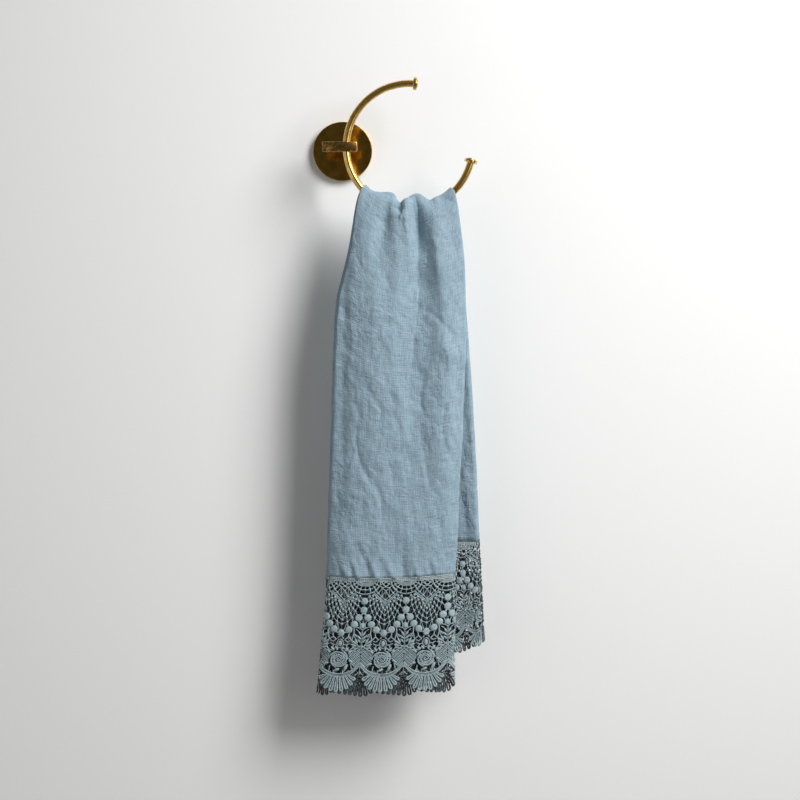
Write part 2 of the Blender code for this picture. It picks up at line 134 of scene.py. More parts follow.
# The folds and creases of the front half. Each is a line of points
# (across, height, depth), deep where the depth is above zero and a ridge below it, with
# its width to the left of the line and to the right of it, and how crisp its bottom is.
SOFT, CRISP = 2.0, 1.25
FRONT_FOLDS = (
    # the broad ridges and valleys that fall from the gathers
    (((45.6, -44, 2), (43.2, -55, 3.2), (39.6, -67, 5.6), (36, -84, 3.4),
      (33, -112, 0.6)), 7.5, 6.5, SOFT),
    (((28, -60, -1.6), (30, -100, -2.4), (35, -180, -2.6), (33, -270, -1.4),
      (30, -330, 0)), 14, 12, SOFT),
    (((50, -50, -2), (50.5, -68, -3.4), (51.5, -95, -3.2), (50, -130, -2),
      (47, -180, -0.5)), 6, 8, SOFT),
    (((59.4, -42, -2.2), (59.8, -52, -4.2), (60.4, -64, -4.4), (61, -80, -2.8),
      (61.6, -100, -1)), 6, 3, SOFT),
    (((65, -37, 3.4), (65, -48, 4.6), (65.6, -56, 7), (66.6, -64, 10), (68, -76, 9),
      (69, -98, 0)), 3, 8, 1.4),
    (((68, -58, 1), (69.4, -80, 3.8), (69.4, -92, 5.2), (68.4, -106, 5),
      (68.6, -120, 3.8)), 4.5, 14, 1.5),
    (((68.6, -120, 3.8), (67.2, -150, 3.6), (67.2, -205, 3.2), (67.2, -262, 2.4),
      (68, -325, 0.3)), 12, 14, SOFT),
    (((79, -52, -2), (80.5, -62, -4.6), (83.5, -80, -5.2), (88, -108, -4.2), (92, -140, -3),
      (94, -180, -2.6)), 6.5, 11, SOFT),
    (((94, -180, -2.6), (94.5, -240, -2.2), (94.5, -300, -1.2), (94, -340, 0)), 12, 7, SOFT),
    (((4.5, -80, 1.2), (3.5, -150, 1.8), (2, -250, 1.8), (-1, -330, 0.8)), 5, 6, SOFT),
    # the small pockets under the dips
    (((51.2, -55, 1.4), (53.8, -56.6, 3), (56.4, -55, 1.4)), 3, 3, SOFT),
    (((48, -60.6, -1.2), (53.8, -62.2, -2.4), (59, -60, -1.2)), 3.6, 3, SOFT),
    (((80.4, -44.6, 1.3), (80.6, -47, 1.1)), 1.6, 1.6, SOFT),
    (((90, -47, 1.2), (95.5, -47.5, 1)), 3.2, 3.2, SOFT),
    # creases below, from the top down
    (((22, -85, 0.4), (13.4, -93, 0.7), (22, -111, 0.8)), 1.8, 1.8, CRISP),
    (((38, -108, 0.4), (46.9, -130, 0.7), (55.7, -131, 0.4)), 2, 2, CRISP),
    (((60.2, -118, 0.4), (67.8, -138, 1.2), (67.2, -162, 1.2), (64.6, -178, 0.6)), 1.8, 6, CRISP),
    (((69, -142, 0.7), (81.3, -147, 1.2), (90.1, -156, 1.1), (103.4, -169, 0.6)), 2.2, 3, CRISP),
    (((66.3, -169, 0.7), (63.7, -195, 1), (75.2, -202, 1.2), (71.6, -226, 1),
      (75.2, -240, 0.9)), 2.4, 2.6, CRISP),
    (((72.5, -256, 0.8), (75.2, -279, 1.1), (79.6, -299, 0.9), (88.4, -309, 0.4)), 2.4, 3.4, CRISP),
    (((88.4, -328, 0.5), (92.8, -359, 0.9)), 3, 3, SOFT),
    (((12.5, -200, 0.4), (13.4, -226, 0.8), (18.7, -236, 1)), 2.2, 2.2, CRISP),
    (((15.2, -246, 0.8), (15.2, -263, 1.4), (18.7, -279, 1.4), (25.8, -292, 1.2),
      (35.5, -303, 0.9)), 2.2, 2.4, CRISP),
    (((35.5, -303, 0.9), (37.7, -318, 1), (37.2, -337, 0.6)), 2.2, 2.2, CRISP),
    (((11.2, -268, 0.8), (7.2, -284, 0.6)), 1.8, 1.8, CRISP),
    (((24, -206, 0.6), (28.4, -219, 0.9), (37.2, -233, 0.9), (33.7, -268, 0.6)), 2.1, 2.1, CRISP),
    (((42, -150, -0.4), (50.4, -206, -0.8), (54.9, -234, -1.5), (59.3, -268, -0.6)), 4.5, 4.5, SOFT),
    (((95.4, -221, 0.6), (91.9, -234, 0.9), (91, -256, 0.9), (95.4, -268, 0.9),
      (99, -279, 0.6)), 2.1, 2.1, CRISP),
    (((46, -284, 0.9), (46.2, -295, 0.9)), 2.2, 2.2, CRISP),
    # puckers above the seam
    (((13.4, -348, 0.7), (19, -358, 1.8), (24.9, -370, 2.4)), 3, 3, CRISP),
    (((55.7, -352, 0.7), (56, -365, 2), (56.6, -378, 2.8)), 3.4, 3.4, CRISP),
    (((0.5, -363, -0.8), (6.5, -378, -2.2)), 2, 3.4, SOFT),
    (((10, -360, -0.8), (16.5, -379, -2.4)), 2, 3.6, SOFT),
    (((26, -364, -0.8), (33, -380, -2.4)), 2.2, 3.8, SOFT),
    (((39, -362, -0.8), (48, -380, -2.4)), 2.4, 3.8, SOFT),
    (((66, -366, -0.8), (70, -380, -2)), 2.2, 3.4, SOFT),
    (((78, -364, 0.8), (83, -379, 2)), 2.4, 2.4, SOFT),
)
BACK_FOLDS = (
    (((30, -50, 1.5), (33, -80, 2.4), (36, -140, 1.8), (44, -220, 1), (50, -300, 0)), 8, 9, SOFT),
    (((75, -48, 1.5), (76, -80, 2.2), (80, -130, 1.6), (84, -200, 0.6)), 9, 8, SOFT),
    (((54, -60, -1.8), (56, -120, -2), (62, -200, -1.2), (70, -290, 0)), 12, 12, SOFT),
    (((104, -200, 0.3), (107, -240, 0.9), (112, -290, 0.9), (118, -335, 0.5)), 3.5, 3.5, SOFT),
)
# Linen keeps small crumples from washing, longer down the cloth than across it.
CRUMPLES = (
    # height, seed, size across, size down, octaves, slant, whether its ridges are hard
    (0.6, 0, 9, 24, 3, 0, False),
    (0.28, 5, 5, 8, 2, 0, False),
    (1.0, 9, 21, 30, 2, 0.2, True),
)

# ---- the lace, laid flat: u is across from a fan's middle, q down from the seam
REPEAT = 34.9
HALF = REPEAT / 2
REPEATS = 15
FRONT_FIRST_FAN = 4.2
BACK_FIRST_FAN = 12.2
FLATTEN = 0.8  # cords are pressed flat by this much
CORD_SIDES = 5
TRIM = 0.3

DISCS = (
    # u, q, half width, half height, thickness
    (HALF, 20.2, 3.15, 3.4, 0.95), (HALF, 28, 3.1, 3.35, 0.95), (13.7, 34.8, 3.3, 3.4, 0.95),
    (10.5, 40.7, 3.25, 3.35, 0.95), (6.2, 45.4, 3.2, 3.35, 0.95), (0, 48.4, 2.9, 3.5, 0.95),
    (HALF, 41.4, 1.9, 2.8, 0.9), (0, 57.6, 1.7, 2.8, 1),
)
# The net's bobbles hang in nested arcs under the V; this is the right half of each.
NET_ARCS = (
    ((0, 28), (1.75, 25.9), (3.05, 23.4), (4.1, 20.6)),
    ((0, 32.4), (2.65, 29.8), (4.75, 27.2), (6.1, 23.5), (7.1, 20.1), (7.7, 17.4)),
    ((0, 36.9), (3.55, 34.3), (6.4, 31.1), (8.2, 26.7), (9.6, 22.5), (10.2, 18.5), (10.6, 15.4)),
    ((0, 40.6), (4.4, 38.5), (8, 34.7), (10.45, 29.3), (12.3, 24.3), (12.9, 20), (13.4, 15.8)),
)
NET_CORD = 0.29
V_ARC = ((0, 19.4), (3.1, 16.2), (6.2, 13.2), (8.6, 10.6))


# ---- numbers and colours
def linear(code):
    """An sRGB hex colour as linear red, green and blue."""
    parts = [int(code[k : k + 2], 16) / 255 for k in (0, 2, 4)]
    return [c / 12.92 if c <= 0.04045 else ((c + 0.055) / 1.055) ** 2.4 for c in parts]


def smooth(table, key, column, at):
    """A table's column at any values of its key column, on a smooth curve."""
    rows = np.array(sorted(table, key=lambda row: row[key]), float)
    knots, values = rows[:, key], rows[:, column]
    at = np.clip(at, knots[0], knots[-1])
    before = np.maximum(np.arange(len(knots)) - 1, 0)
    after = np.minimum(np.arange(len(knots)) + 1, len(knots) - 1)
    slope = (values[after] - values[before]) / (knots[after] - knots[before])
    i = np.clip(np.searchsorted(knots, at, side="left") - 1, 0, len(knots) - 2)
    span = knots[i + 1] - knots[i]
    t = (at - knots[i]) / span
    rise = values[i + 1] - values[i]
    bend_low = slope[i] * span - rise
    bend_high = rise - slope[i + 1] * span
    return values[i] + t * rise + t * (1 - t) * ((1 - t) * bend_low + t * bend_high)


def unit(vectors):
    return vectors / np.maximum(np.linalg.norm(vectors, axis=-1, keepdims=True), 1e-12)


# ---- the hanging form
ROD = ROD_DIAMETER / 2
STACK = SEAT + SHEET / 2 + (LAYERS - 1) * PITCH_AT_ROD  # rod to the outer layer, on the rod
STACK_BELOW = 5.1  # and where the layers have opened
HALF_LENGTH = 330.0
RISE_FADE = 25.0
FORWARD_SHARE = 0.5
PROBE = 0.002  # the step for slopes along the cloth
FOLD_BOTTOM = 0.02  # rounds the bottom of a fold


def gathered(share):
    """Angle round the ring and rise off the rod, at shares of the width."""
    return np.radians(smooth(GATHERS, SHARE, ANGLE, share)), smooth(GATHERS, SHARE, RISE, share)


def hanging(share, side, down):
    """The outer layer below the rod; down is 0 at the rod, 1 at the seam, 2 at the end."""
    angle, rise = gathered(share)
    top = -RING_RADIUS * np.cos(angle)
    start = RING_X + RING_RADIUS * np.sin(angle)
    outline, swell, seam = BACK_OUTLINE, BACK_SWELL, BACK_SEAM
    if side < 0:
        outline, swell = FRONT_OUTLINE, FRONT_SWELL
        seam = FRONT_SEAM + FRONT_SEAM_RISE * share - FRONT_SEAM_SAG * share * (1 - share)
    beyond = np.maximum(down - 1.0, 0.0)
    z = top + (seam - top) * np.minimum(down, 1.0) - LACE_DEPTH * beyond
    if side > 0:
        z = z + BACK_END_LIFT * beyond * share**LIFT_POWER
    drop = top - z
    left, right = (smooth(outline, HEIGHT, edge, z) for edge in (LEFT, RIGHT))
    ease = smooth(SPREAD, DROP, EASE, drop)
    x = start + (left + (right - left) * share - start) * ease
    crown = 1 - (2 * share - 1) ** CROWN_POWER
    out = ROD + STACK + (STACK_BELOW - STACK) * ease
    out = out + FORWARD_SHARE * rise * np.exp(-drop / RISE_FADE)
    out = out + swell * crown * smooth(SPREAD, DROP, EASE, drop * 0.5)
    return np.stack([x, RING_Y + side * out, z], -1)


def over_rod(share, turn):
    """The outer layer over the rod; turn is 0 in front, 0.5 on top and 1 behind."""
    angle, rise = gathered(share)
    none = np.zeros_like(angle)
    inwards = np.stack([-np.sin(angle), none, np.cos(angle)], -1)
    forward = ROD + STACK + FORWARD_SHARE * rise
    upward = ROD + STACK + rise
    swing = math.pi * turn
    place = np.array([RING_X, RING_Y, 0.0]) - inwards * RING_RADIUS
    place = place + inwards * (upward * np.sin(swing))[..., None]
    return place + np.stack([none, -forward * np.cos(swing), none], -1)


def outer_layer(share, way):
    """way runs -2 front end, -1 front seam, 0..1 over the rod, 2 back seam, 3 back end."""
    place = np.empty(share.shape + (3,))
    front, behind = way < 0, way > 1
    over = ~(front | behind)
    place[front] = hanging(share[front], -1, -way[front])
    place[behind] = hanging(share[behind], 1, way[behind] - 1)
    place[over] = over_rod(share[over], way[over])
    return place


def drop_of(way):
    """Rough drop below the rod, for what changes slowly down the cloth."""
    return HALF_LENGTH * np.maximum(np.maximum(-way, way - 1), 0.0)


def fold_depth(x, z, line, left, right, power):
    """The depth of one fold at points of the cloth, from its line and its two widths."""
    best, depth = np.full(x.shape, np.inf), np.zeros(x.shape)
    for (ax, az, a_depth), (bx, bz, b_depth) in zip(line, line[1:]):
        length = math.hypot(bx - ax, bz - az)
        ux, uz = (bx - ax) / length, (bz - az) / length
        along = np.clip((x - ax) * ux + (z - az) * uz, 0, length)
        dx, dz = x - ax - along * ux, z - az - along * uz
        away = np.hypot(dx, dz)
        # the cross product is above zero to the right of a line that runs down
        width = np.where(dz * ux - dx * uz > 0, right, left)
        fall = np.exp(-(((away / width) ** 2 + FOLD_BOTTOM) ** (power / 2)))
        nearer = away < best
        depth = np.where(nearer, (a_depth + (b_depth - a_depth) * along / length) * fall, depth)
        best = np.where(nearer, away, best)
    return depth


def rumple(x, z, seed, reach_x, reach_z, octaves, hard):
    """Crumples about zero of a given size across and down, from seeded noise."""
    spots = [Vector((px, pz, seed)) for px, pz in zip((x / reach_x).ravel(), (z / reach_z).ravel())]
    if hard:
        flat = [0.5 - noise.turbulence(spot, octaves, True) for spot in spots]
    else:
        flat = [noise.fractal(spot, 0.8, 2.1, octaves) for spot in spots]
    return np.array(flat).reshape(x.shape)


def relief(point, way):
    """How far the cloth stands in from its main form, the same for all its layers."""
    x, z = point[..., 0], point[..., 2]
    deep = np.zeros(x.shape)
    away = np.clip((drop_of(way) - 5) / 100, 0.15, 1)
    for here, folds, seed in ((way < 0.35, FRONT_FOLDS, 3.0), (way > 0.65, BACK_FOLDS, 8.0)):
        px, pz = x[here], z[here]
        total = np.zeros(px.shape)
        for line, *widths in folds:
            total += fold_depth(px, pz, line, *widths)
        total += away[here] * sum(
            high * rumple(px + slant * pz, pz, seed + more, wide, tall, octaves, hard)
            for high, more, wide, tall, octaves, slant, hard in CRUMPLES
        )
        deep[here] = total
    return deep


def cloth_point(share, layer, past, way):
    """Points of the folded sheet: layer 0 is outermost, past is along it beyond an edge."""
    share, layer, past, way = np.broadcast_arrays(share, layer, past, way)
    inner = np.clip(share, PROBE, 1 - PROBE)
    across = outer_layer(inner + PROBE, way) - outer_layer(inner - PROBE, way)
    along = outer_layer(share, way + PROBE) - outer_layer(share, way - PROBE)
    outwards = unit(np.cross(across, along))
    relaxed = smooth(SPREAD, DROP, EASE, drop_of(way))
    closed = PITCH_AT_ROD + (PITCH_BELOW - PITCH_AT_ROD) * relaxed
    beyond = np.maximum(np.maximum(-way, way - 1) - 1, 0)
    pitch = closed + (PITCH_AT_END - PITCH_BELOW) * beyond**0.5
    point = outer_layer(share, way)
    point = point - outwards * (layer * pitch + relief(point, way))[..., None]
    free = (layer >= 2) & (past < 0)
    reach = np.where(free, FREE_AT_ROD + (1 - FREE_AT_ROD) * relaxed, closed / PITCH_BELOW)
    point = point + unit(across) * (past * reach)[..., None]
    point[..., 2] -= LAYER_DROP * layer * np.minimum(drop_of(way) / HALF_LENGTH, 1.0)
    return point


# The section from one free edge to the other, as stretches of the flat cloth.
WIDE_FOLD = 1.5 * PITCH_BELOW
TIGHT_FOLD = 0.5 * PITCH_BELOW
HEMMED = FACE_WIDTH + FREE_EDGE
STRETCHES = (
    # kind, length, layer it starts on, layer it ends on, radius
    ("to_right", HEMMED, 3, 3, 0.0),
    ("right_fold", math.pi * WIDE_FOLD, 3, 0, WIDE_FOLD),
    ("to_left", FACE_WIDTH, 0, 0, 0.0),
    ("left_fold", math.pi * TIGHT_FOLD, 0, 1, TIGHT_FOLD),
    ("to_right", FACE_WIDTH, 1, 1, 0.0),
    ("right_fold", math.pi * TIGHT_FOLD, 1, 2, TIGHT_FOLD),
    ("to_left", HEMMED, 2, 2, 0.0),
)
WIDTH = sum(stretch[1] for stretch in STRETCHES)


def in_section(at):
    """Where distances along the flat width lie in the fold: share, layer, past an edge."""
    at = np.clip(np.asarray(at, float), 0.0, WIDTH)
    share, layer, past = np.zeros((3, *at.shape))
    start = 0.0
    for kind, length, first, last, radius in STRETCHES:
        here = (at >= start) & (at <= start + length + 1e-9)
        run = at[here] - start
        if kind.endswith("fold"):
            turn = math.pi * run / length
            share[here] = 1.0 if kind == "right_fold" else 0.0
            layer[here] = (first + last) / 2 + (first - last) / 2 * np.cos(turn)
            past[here] = radius * np.sin(turn) * (1 if kind == "right_fold" else -1)
        else:
            place = run - (length - FACE_WIDTH) if kind == "to_right" else FACE_WIDTH - run
            share[here] = np.maximum(place, 0.0) / FACE_WIDTH
            layer[here] = first
            past[here] = np.minimum(place, 0.0)
        start += length
    return share, layer, past


def fold_map(ways, at):
    """The folded place, in millimetres, of each row (way) and column (at) of a flat grid."""
    return cloth_point(*(part[None, :] for part in in_section(at)), np.asarray(ways, float)[:, None])


COLUMN_STEP = 0.5
ROW_STEP = 3.0


def put_on_lace_end(side, at, down, lift):
    """Flat points, with their lift off the sheet, on the folded form of one lace end."""
    columns = np.arange(0.0, WIDTH + COLUMN_STEP, COLUMN_STEP)
    rows = np.arange(-ROW_STEP, LACE_DEPTH + ROW_STEP * 2, ROW_STEP)
    share = rows / LACE_DEPTH
    place = fold_map(-1 - share if side < 0 else 2 + share, np.minimum(columns, WIDTH))
    # the normal points to the room on the outer layer of both halves
    normal = unit(np.cross(np.gradient(place, axis=0), np.gradient(place, axis=1)))
    u = np.clip(at / COLUMN_STEP, 0, len(columns) - 1.001)
    v = np.clip((down - rows[0]) / ROW_STEP, 0, len(rows) - 1.001)
    i, j = u.astype(int), v.astype(int)
    s, t = (u - i)[:, None], (v - j)[:, None]

    def mix(grid):
        low = grid[j, i] * (1 - s) + grid[j, i + 1] * s
        high = grid[j + 1, i] * (1 - s) + grid[j + 1, i + 1] * s
        return low * (1 - t) + high * t

    return mix(place) + unit(mix(normal)) * lift[:, None]


# ---- making pieces
def feed(tree, node, inputs):
    """Feed a node's inputs with values, sockets, or the first output of other nodes."""
    for key, value in dict(inputs).items():
        value = value.outputs[0] if isinstance(value, bpy.types.Node) else value
        if isinstance(value, bpy.types.NodeSocket):
            tree.links.new(value, node.inputs[key])
        else:
            node.inputs[key].default_value = value
    return node


def add(tree, kind, inputs=(), **settings):
    """Add a node, set it up, and feed its inputs."""
    node = tree.nodes.new(kind)
    for name, value in settings.items():
        setattr(node, name, value)
    return feed(tree, node, inputs)


def helper(name, data):
    """An object in the scene; most only feed a tree or a modifier and are removed again."""
    thing = bpy.data.objects.new(name, data)
    bpy.context.scene.collection.objects.link(thing)
    return thing


def new_piece(name, mesh, material, node):
    """A finished mesh as a shown piece that rides on the body in a node's place."""
    mesh.materials.clear()
    mesh.materials.append(material)
    piece = helper(name, mesh)
    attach(piece, "root")
    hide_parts(node)
    return piece


def mesh_from(name, points_mm, faces):
    mesh = bpy.data.meshes.new(name)
    mesh.from_pydata((np.asarray(points_mm) * MM).tolist(), [], faces)
    mesh.update()
    return mesh


def keep_flat(mesh, across, down):
    """Each point's place on the flat cloth, in metres, as the UV map the materials read."""
    for layer in list(mesh.uv_layers):
        mesh.uv_layers.remove(layer)
    index = np.empty(len(mesh.loops), int)
    mesh.loops.foreach_get("vertex_index", index)
    uv = np.stack([across[index], down[index]], -1) * MM
    mesh.uv_layers.new(name="cloth").data.foreach_set("uv", uv.astype(np.float32).ravel())


def finish_mesh(mesh, sharp=40.0):
    """Doubles merged, faces turned outwards and edges over an angle kept sharp."""
    bm = bmesh.new()
    bm.from_mesh(mesh)
    bmesh.ops.remove_doubles(bm, verts=bm.verts, dist=1e-6)
    bmesh.ops.recalc_face_normals(bm, faces=bm.faces)
    bm.to_mesh(mesh)
    bm.free()
    mesh.shade_smooth()
    mesh.set_sharp_from_angle(angle=math.radians(sharp))
    return mesh


def evaluated_copy(thing, name):
    """The thing's mesh with its modifiers applied, as a plain mesh; the thing is removed."""
    graph = bpy.context.evaluated_depsgraph_get()
    mesh = bpy.data.meshes.new_from_object(thing.evaluated_get(graph), depsgraph=graph)
    mesh.name = name
    bpy.data.objects.remove(thing, do_unlink=True)
    return mesh


def blank(name, make, **shape):
    """A plain block or cylinder to cut with, or to be cut."""
    bm = bmesh.new()
    make(bm, **shape)
    mesh = bpy.data.meshes.new(name)
    bm.to_mesh(mesh)
    bm.free()
    return helper(name, mesh)


def grid_faces(rows, columns, closed=False):
    """The faces of a grid of points given row by row; closed joins the ends of its rows."""
    faces = []
    for start in range(0, (rows - 1) * columns, columns):
        for k in range(columns if closed else columns - 1):
            a, b = start + k, start + (k + 1) % columns
            faces.append((a, b, b + columns, a + columns))
    return faces


def lathe(profile, sides):
    """Points and faces of a turned shape from (radius, along) pairs, round the Z axis."""
    points, faces = [], []
    count = len(profile)
    for k in range(sides):
        turn = 2 * math.pi * k / sides
        points += [(r * math.cos(turn), r * math.sin(turn), along) for r, along in profile]
        a, b = k * count, (k + 1) % sides * count
        faces += [(a + j, a + j + 1, b + j + 1, b + j) for j in range(count - 1)]
    return np.array(points), faces


def rounded(corner, before, after, radius, steps=4):
    """Points of a rounded corner of a profile."""
    corner, before, after = (np.array(p, float) for p in (corner, before, after))
    start = corner + unit(before - corner) * radius
    end = corner + unit(after - corner) * radius
    shares = np.linspace(0, 1, steps + 1)
    return [tuple((1 - t) ** 2 * start + 2 * t * (1 - t) * corner + t**2 * end) for t in shares]


# ---- materials
NOISE, RANGE, BUMP = "ShaderNodeTexNoise", "ShaderNodeMapRange", "ShaderNodeBump"
MATH, VECTOR_MATH = "ShaderNodeMath", "ShaderNodeVectorMath"
PATCHES = 960.0  # noise of this scale, on coordinates in metres, has patches 1 mm across


def start_material(name):
    material = bpy.data.materials.new(name)
    material.use_nodes = True
    tree = material.node_tree
    return material, tree, tree.nodes["Principled BSDF"]


def cloth_place(tree):
    """Places on the flat cloth, in millimetres."""
    cloth = add(tree, "ShaderNodeUVMap", uv_map="cloth")
    return add(tree, "ShaderNodeMapping", {"Vector": cloth, "Scale": (1000, 1000, 1000)})


def ramp(tree, factor, *stops):
    """Two linear colours mixed between two values of a factor."""
    node = add(tree, "ShaderNodeValToRGB", {"Fac": factor})
    for element, (position, colour) in zip(node.color_ramp.elements, stops):
        element.position = position
        element.color = (*colour, 1.0)
    return node


def brass(name, light, dark, roughness, grain, patch=6.0):
    """Solid brass, turned and hand polished, then left to age without lacquer."""
    # Ageing leaves cloudy darker patches, 6 mm across where the brass is polished, and
    # the last grit leaves a grain 0.4 mm wide. Both blur the reflections a little.
    material, tree, shader = start_material(name)
    place = add(tree, "ShaderNodeTexCoord").outputs["Object"]
    cloud = add(tree, NOISE, {"Vector": place, "Scale": PATCHES / patch, "Detail": 4})
    fine = add(tree, NOISE, {"Vector": place, "Scale": PATCHES / 0.4, "Detail": 2})
    blur = {"From Min": 0.3, "From Max": 0.7, "To Min": roughness + 0.07, "To Max": roughness - 0.03}
    feed(tree, shader, {
        "Metallic": 1,
        "Base Color": ramp(tree, cloud, (0.32, dark), (0.62, light)),
        "Roughness": add(tree, RANGE, {"Value": cloud, **blur}),
        "Normal": add(tree, BUMP, {"Height": fine, "Strength": grain, "Distance": 0.0001}),
    })
    return material


def threads(tree, place, axis, pitch, wander):
    """Height of parallel threads, as a rounded wave across one axis of the flat cloth."""
    split = add(tree, "ShaderNodeSeparateXYZ", {"Vector": place})
    moved = {0: wander, 1: 0.35 * pitch, 2: split.outputs[axis]}
    moved = add(tree, MATH, moved, operation="MULTIPLY_ADD")
    turns = add(tree, MATH, {0: moved, 1: math.pi / pitch}, operation="MULTIPLY")
    wave = add(tree, MATH, {0: turns}, operation="SINE")
    return add(tree, MATH, {0: wave}, operation="ABSOLUTE")


def woven_linen(settings):
    """Plain-woven linen, piece-dyed grey blue, washed and dried on the line."""
    # Its flax yarns are uneven, so the cloth shows slubs, thick and pale stretches of
    # yarn 10 to 30 mm long both ways, over a fine even grid, and many soft crumples.
    material, tree, shader = start_material("washed_linen")
    place = cloth_place(tree)
    wander = add(tree, NOISE, {"Vector": place, "Scale": 0.12, "Detail": 2})
    pitch = 1.5  # the yarns are 0.55 mm apart, drawn coarser so that they show
    warp, weft = (threads(tree, place, axis, pitch, wander) for axis in "XY")
    grid = add(tree, MATH, {0: warp, 1: weft}, operation="MULTIPLY")
    slubs = []
    for stretch in ((1, 0.1, 1), (0.1, 1, 1)):
        long = add(tree, "ShaderNodeMapping", {"Vector": place, "Scale": stretch})
        slubs.append(add(tree, NOISE, {"Vector": long, "Scale": 1, "Detail": 3}))
    both = add(tree, MATH, {0: slubs[0], 1: slubs[1]}, operation="ADD")
    slub = add(tree, RANGE, {"Value": both, "From Min": 0.72, "From Max": 1.28})
    cloud = add(tree, NOISE, {"Vector": place, "Scale": 0.045, "Detail": 3})
    shade = add(tree, MATH, {0: cloud, 1: 0.45, 2: slub}, operation="MULTIPLY_ADD")
    # soft crumples, and the sharper creases that a dried cloth keeps in some patches
    crumple = add(tree, NOISE, {"Vector": place, "Scale": 0.12, "Detail": 4, "Roughness": 0.55})
    bent = add(tree, VECTOR_MATH, {0: wander.outputs["Color"], 1: (16, 22, 0)}, operation="MULTIPLY")
    bent = add(tree, VECTOR_MATH, {0: place, 1: bent}, operation="ADD")
    cells = {"Vector": bent, "Scale": 0.06}
    creases = add(tree, "ShaderNodeTexVoronoi", cells, feature="DISTANCE_TO_EDGE")
    edge = add(tree, MATH, {0: creases, 1: 0.65}, operation="POWER")
    patches = add(tree, NOISE, {"Vector": place, "Scale": 0.025, "Detail": 1})
    creased = {"Value": patches, "From Min": 0.42, "From Max": 0.58, "To Max": 0.85}
    creased = add(tree, RANGE, creased)
    folded = add(tree, MATH, {0: edge, 1: creased, 2: crumple}, operation="MULTIPLY_ADD")
    bump = {}
    for height, strength, distance in ((folded, 0.47, 0.003), (slub, 0.55, 0.0002), (grid, 0.6, 0.00022)):
        layer = {"Height": height, "Strength": strength, "Distance": distance, **bump}
        bump = {"Normal": add(tree, BUMP, layer)}
    feed(tree, shader, {
        "Base Color": ramp(tree, shade, (0.05, settings.linen_dark), (1.4, settings.linen_light)),
        "Roughness": 0.92,
        "Specular IOR Level": 0.25,
        "Sheen Weight": 0.12,
        "Sheen Roughness": 0.5,
        **bump,
    })
    return material


def lace_cord(settings):
    """Machine-made corded lace of soft cotton, dyed with the linen."""
    # Every form is packed satin stitch, so it shows fine ribs 0.5 mm apart and takes the
    # dye unevenly. The plain heading along the seam is mixed towards a paler grey, and the
    # layers that are folded in are painted dark as painted shade, so they show dark through the gaps.
    material, tree, shader = start_material("corded_cotton_lace")
    place = cloth_place(tree)
    cloud = add(tree, NOISE, {"Vector": place, "Scale": 0.35, "Detail": 4})
    colour = ramp(tree, cloud, (0.3, settings.lace_dark), (0.7, settings.lace_light))
    down = add(tree, "ShaderNodeSeparateXYZ", {"Vector": place}).outputs["Y"]
    seam = {"Value": down, "From Min": 3, "From Max": 5, "To Min": 0.6, "To Max": 0}
    # painted shade: this attribute mixes the folded-in layers towards a dark colour
    painted_shade = add(tree, "ShaderNodeAttribute", attribute_name="kept_dye").outputs["Fac"]
    for share, other in ((add(tree, RANGE, seam), settings.heading), (painted_shade, settings.lace_painted_shade)):
        mixed = {0: share, 6: colour, 7: (*other, 1.0)}  # 6 and 7 are its two colours
        colour = add(tree, "ShaderNodeMix", mixed, data_type="RGBA").outputs[2]
    ribs = {"Vector": place, "Scale": 0.62, "Distortion": 3, "Detail": 2, "Detail Scale": 1.5}
    stitches = add(tree, "ShaderNodeTexWave", ribs).outputs["Fac"]
    feed(tree, shader, {
        "Base Color": colour,
        "Roughness": 0.9,
        "Specular IOR Level": 0.25,
        "Sheen Weight": 0.1,
        "Normal": add(tree, BUMP, {"Height": stitches, "Strength": 0.5, "Distance": 0.00025}),
    })
    return material


# ---- the lace's parts, laid flat
def bow(u, q, half_width, half_height, start, stop, steps):
    """Points on an ellipse round (u, q); 90 degrees is straight down."""
    turns = np.radians(np.linspace(start, stop, steps + 1))
    return [(u + half_width * math.cos(t), q + half_height * math.sin(t)) for t in turns]


def inside(point, outline):
    """True where a flat point is inside a closed outline."""
    u, q = point
    odd = False
    for (au, aq), (bu, bq) in zip(outline, outline[1:] + outline[:1]):
        if (aq > q) != (bq > q) and u < (bu - au) * (q - aq) / (bq - aq) + au:
            odd = not odd
    return odd


def mirrored(lines):
    """The lines and their mirror images about the fan's middle."""
    return lines + [([(-u, q) for u, q in line], radii) for line, radii in lines]


def cords(rows):
    """Lines and the radii at their points, from rows of a radius, or one each, and points."""
    return [
        (line, radius if isinstance(radius, tuple) else [radius] * len(line))
        for radius, *line in rows
    ]


def heading_cords():
    """The braided band that is sewn to the linen."""
    lines = []
    for q, radius in ((0.4, 0.5), (1.7, 0.42), (2.9, 0.42)):
        lines.append((radius, *((u, q) for u in np.linspace(-HALF, HALF, 9))))
    for k in range(20):
        u = -HALF + (k + 0.5) * REPEAT / 20
        lines.append((0.32, (u, 0.4), (u + 0.5, 2.9)))
    return cords(lines)


SWAG_TURNS = (90, 113, 136, 159)
SWAGS = (
    # half width, half height, radius
    (12.9, 11, 0.5), (10.4, 7.3, 0.38), (8, 3.9, 0.46), (6.9, 3, 0.36), (5.8, 2.1, 0.36), (4.7, 1.2, 0.36),
)


def on_swag(number, turn):
    """A point on one of the swags, at an angle round it."""
    return bow(HALF, 3.0, *SWAGS[number][:2], turn, turn + 1, 1)[0]


def swag_cords():
    """Hanging arcs under the seam where two repeats meet, with bars and bobbles between."""
    lines = []
    for wide, high, radius in SWAGS:
        lines.append((radius, *bow(HALF, 3.0, wide, high, 90, 178, max(5, round(wide * 0.8)))))
    lines += [(0.4, on_swag(2, turn), on_swag(0, turn)) for turn in SWAG_TURNS]
    return mirrored(cords(lines))


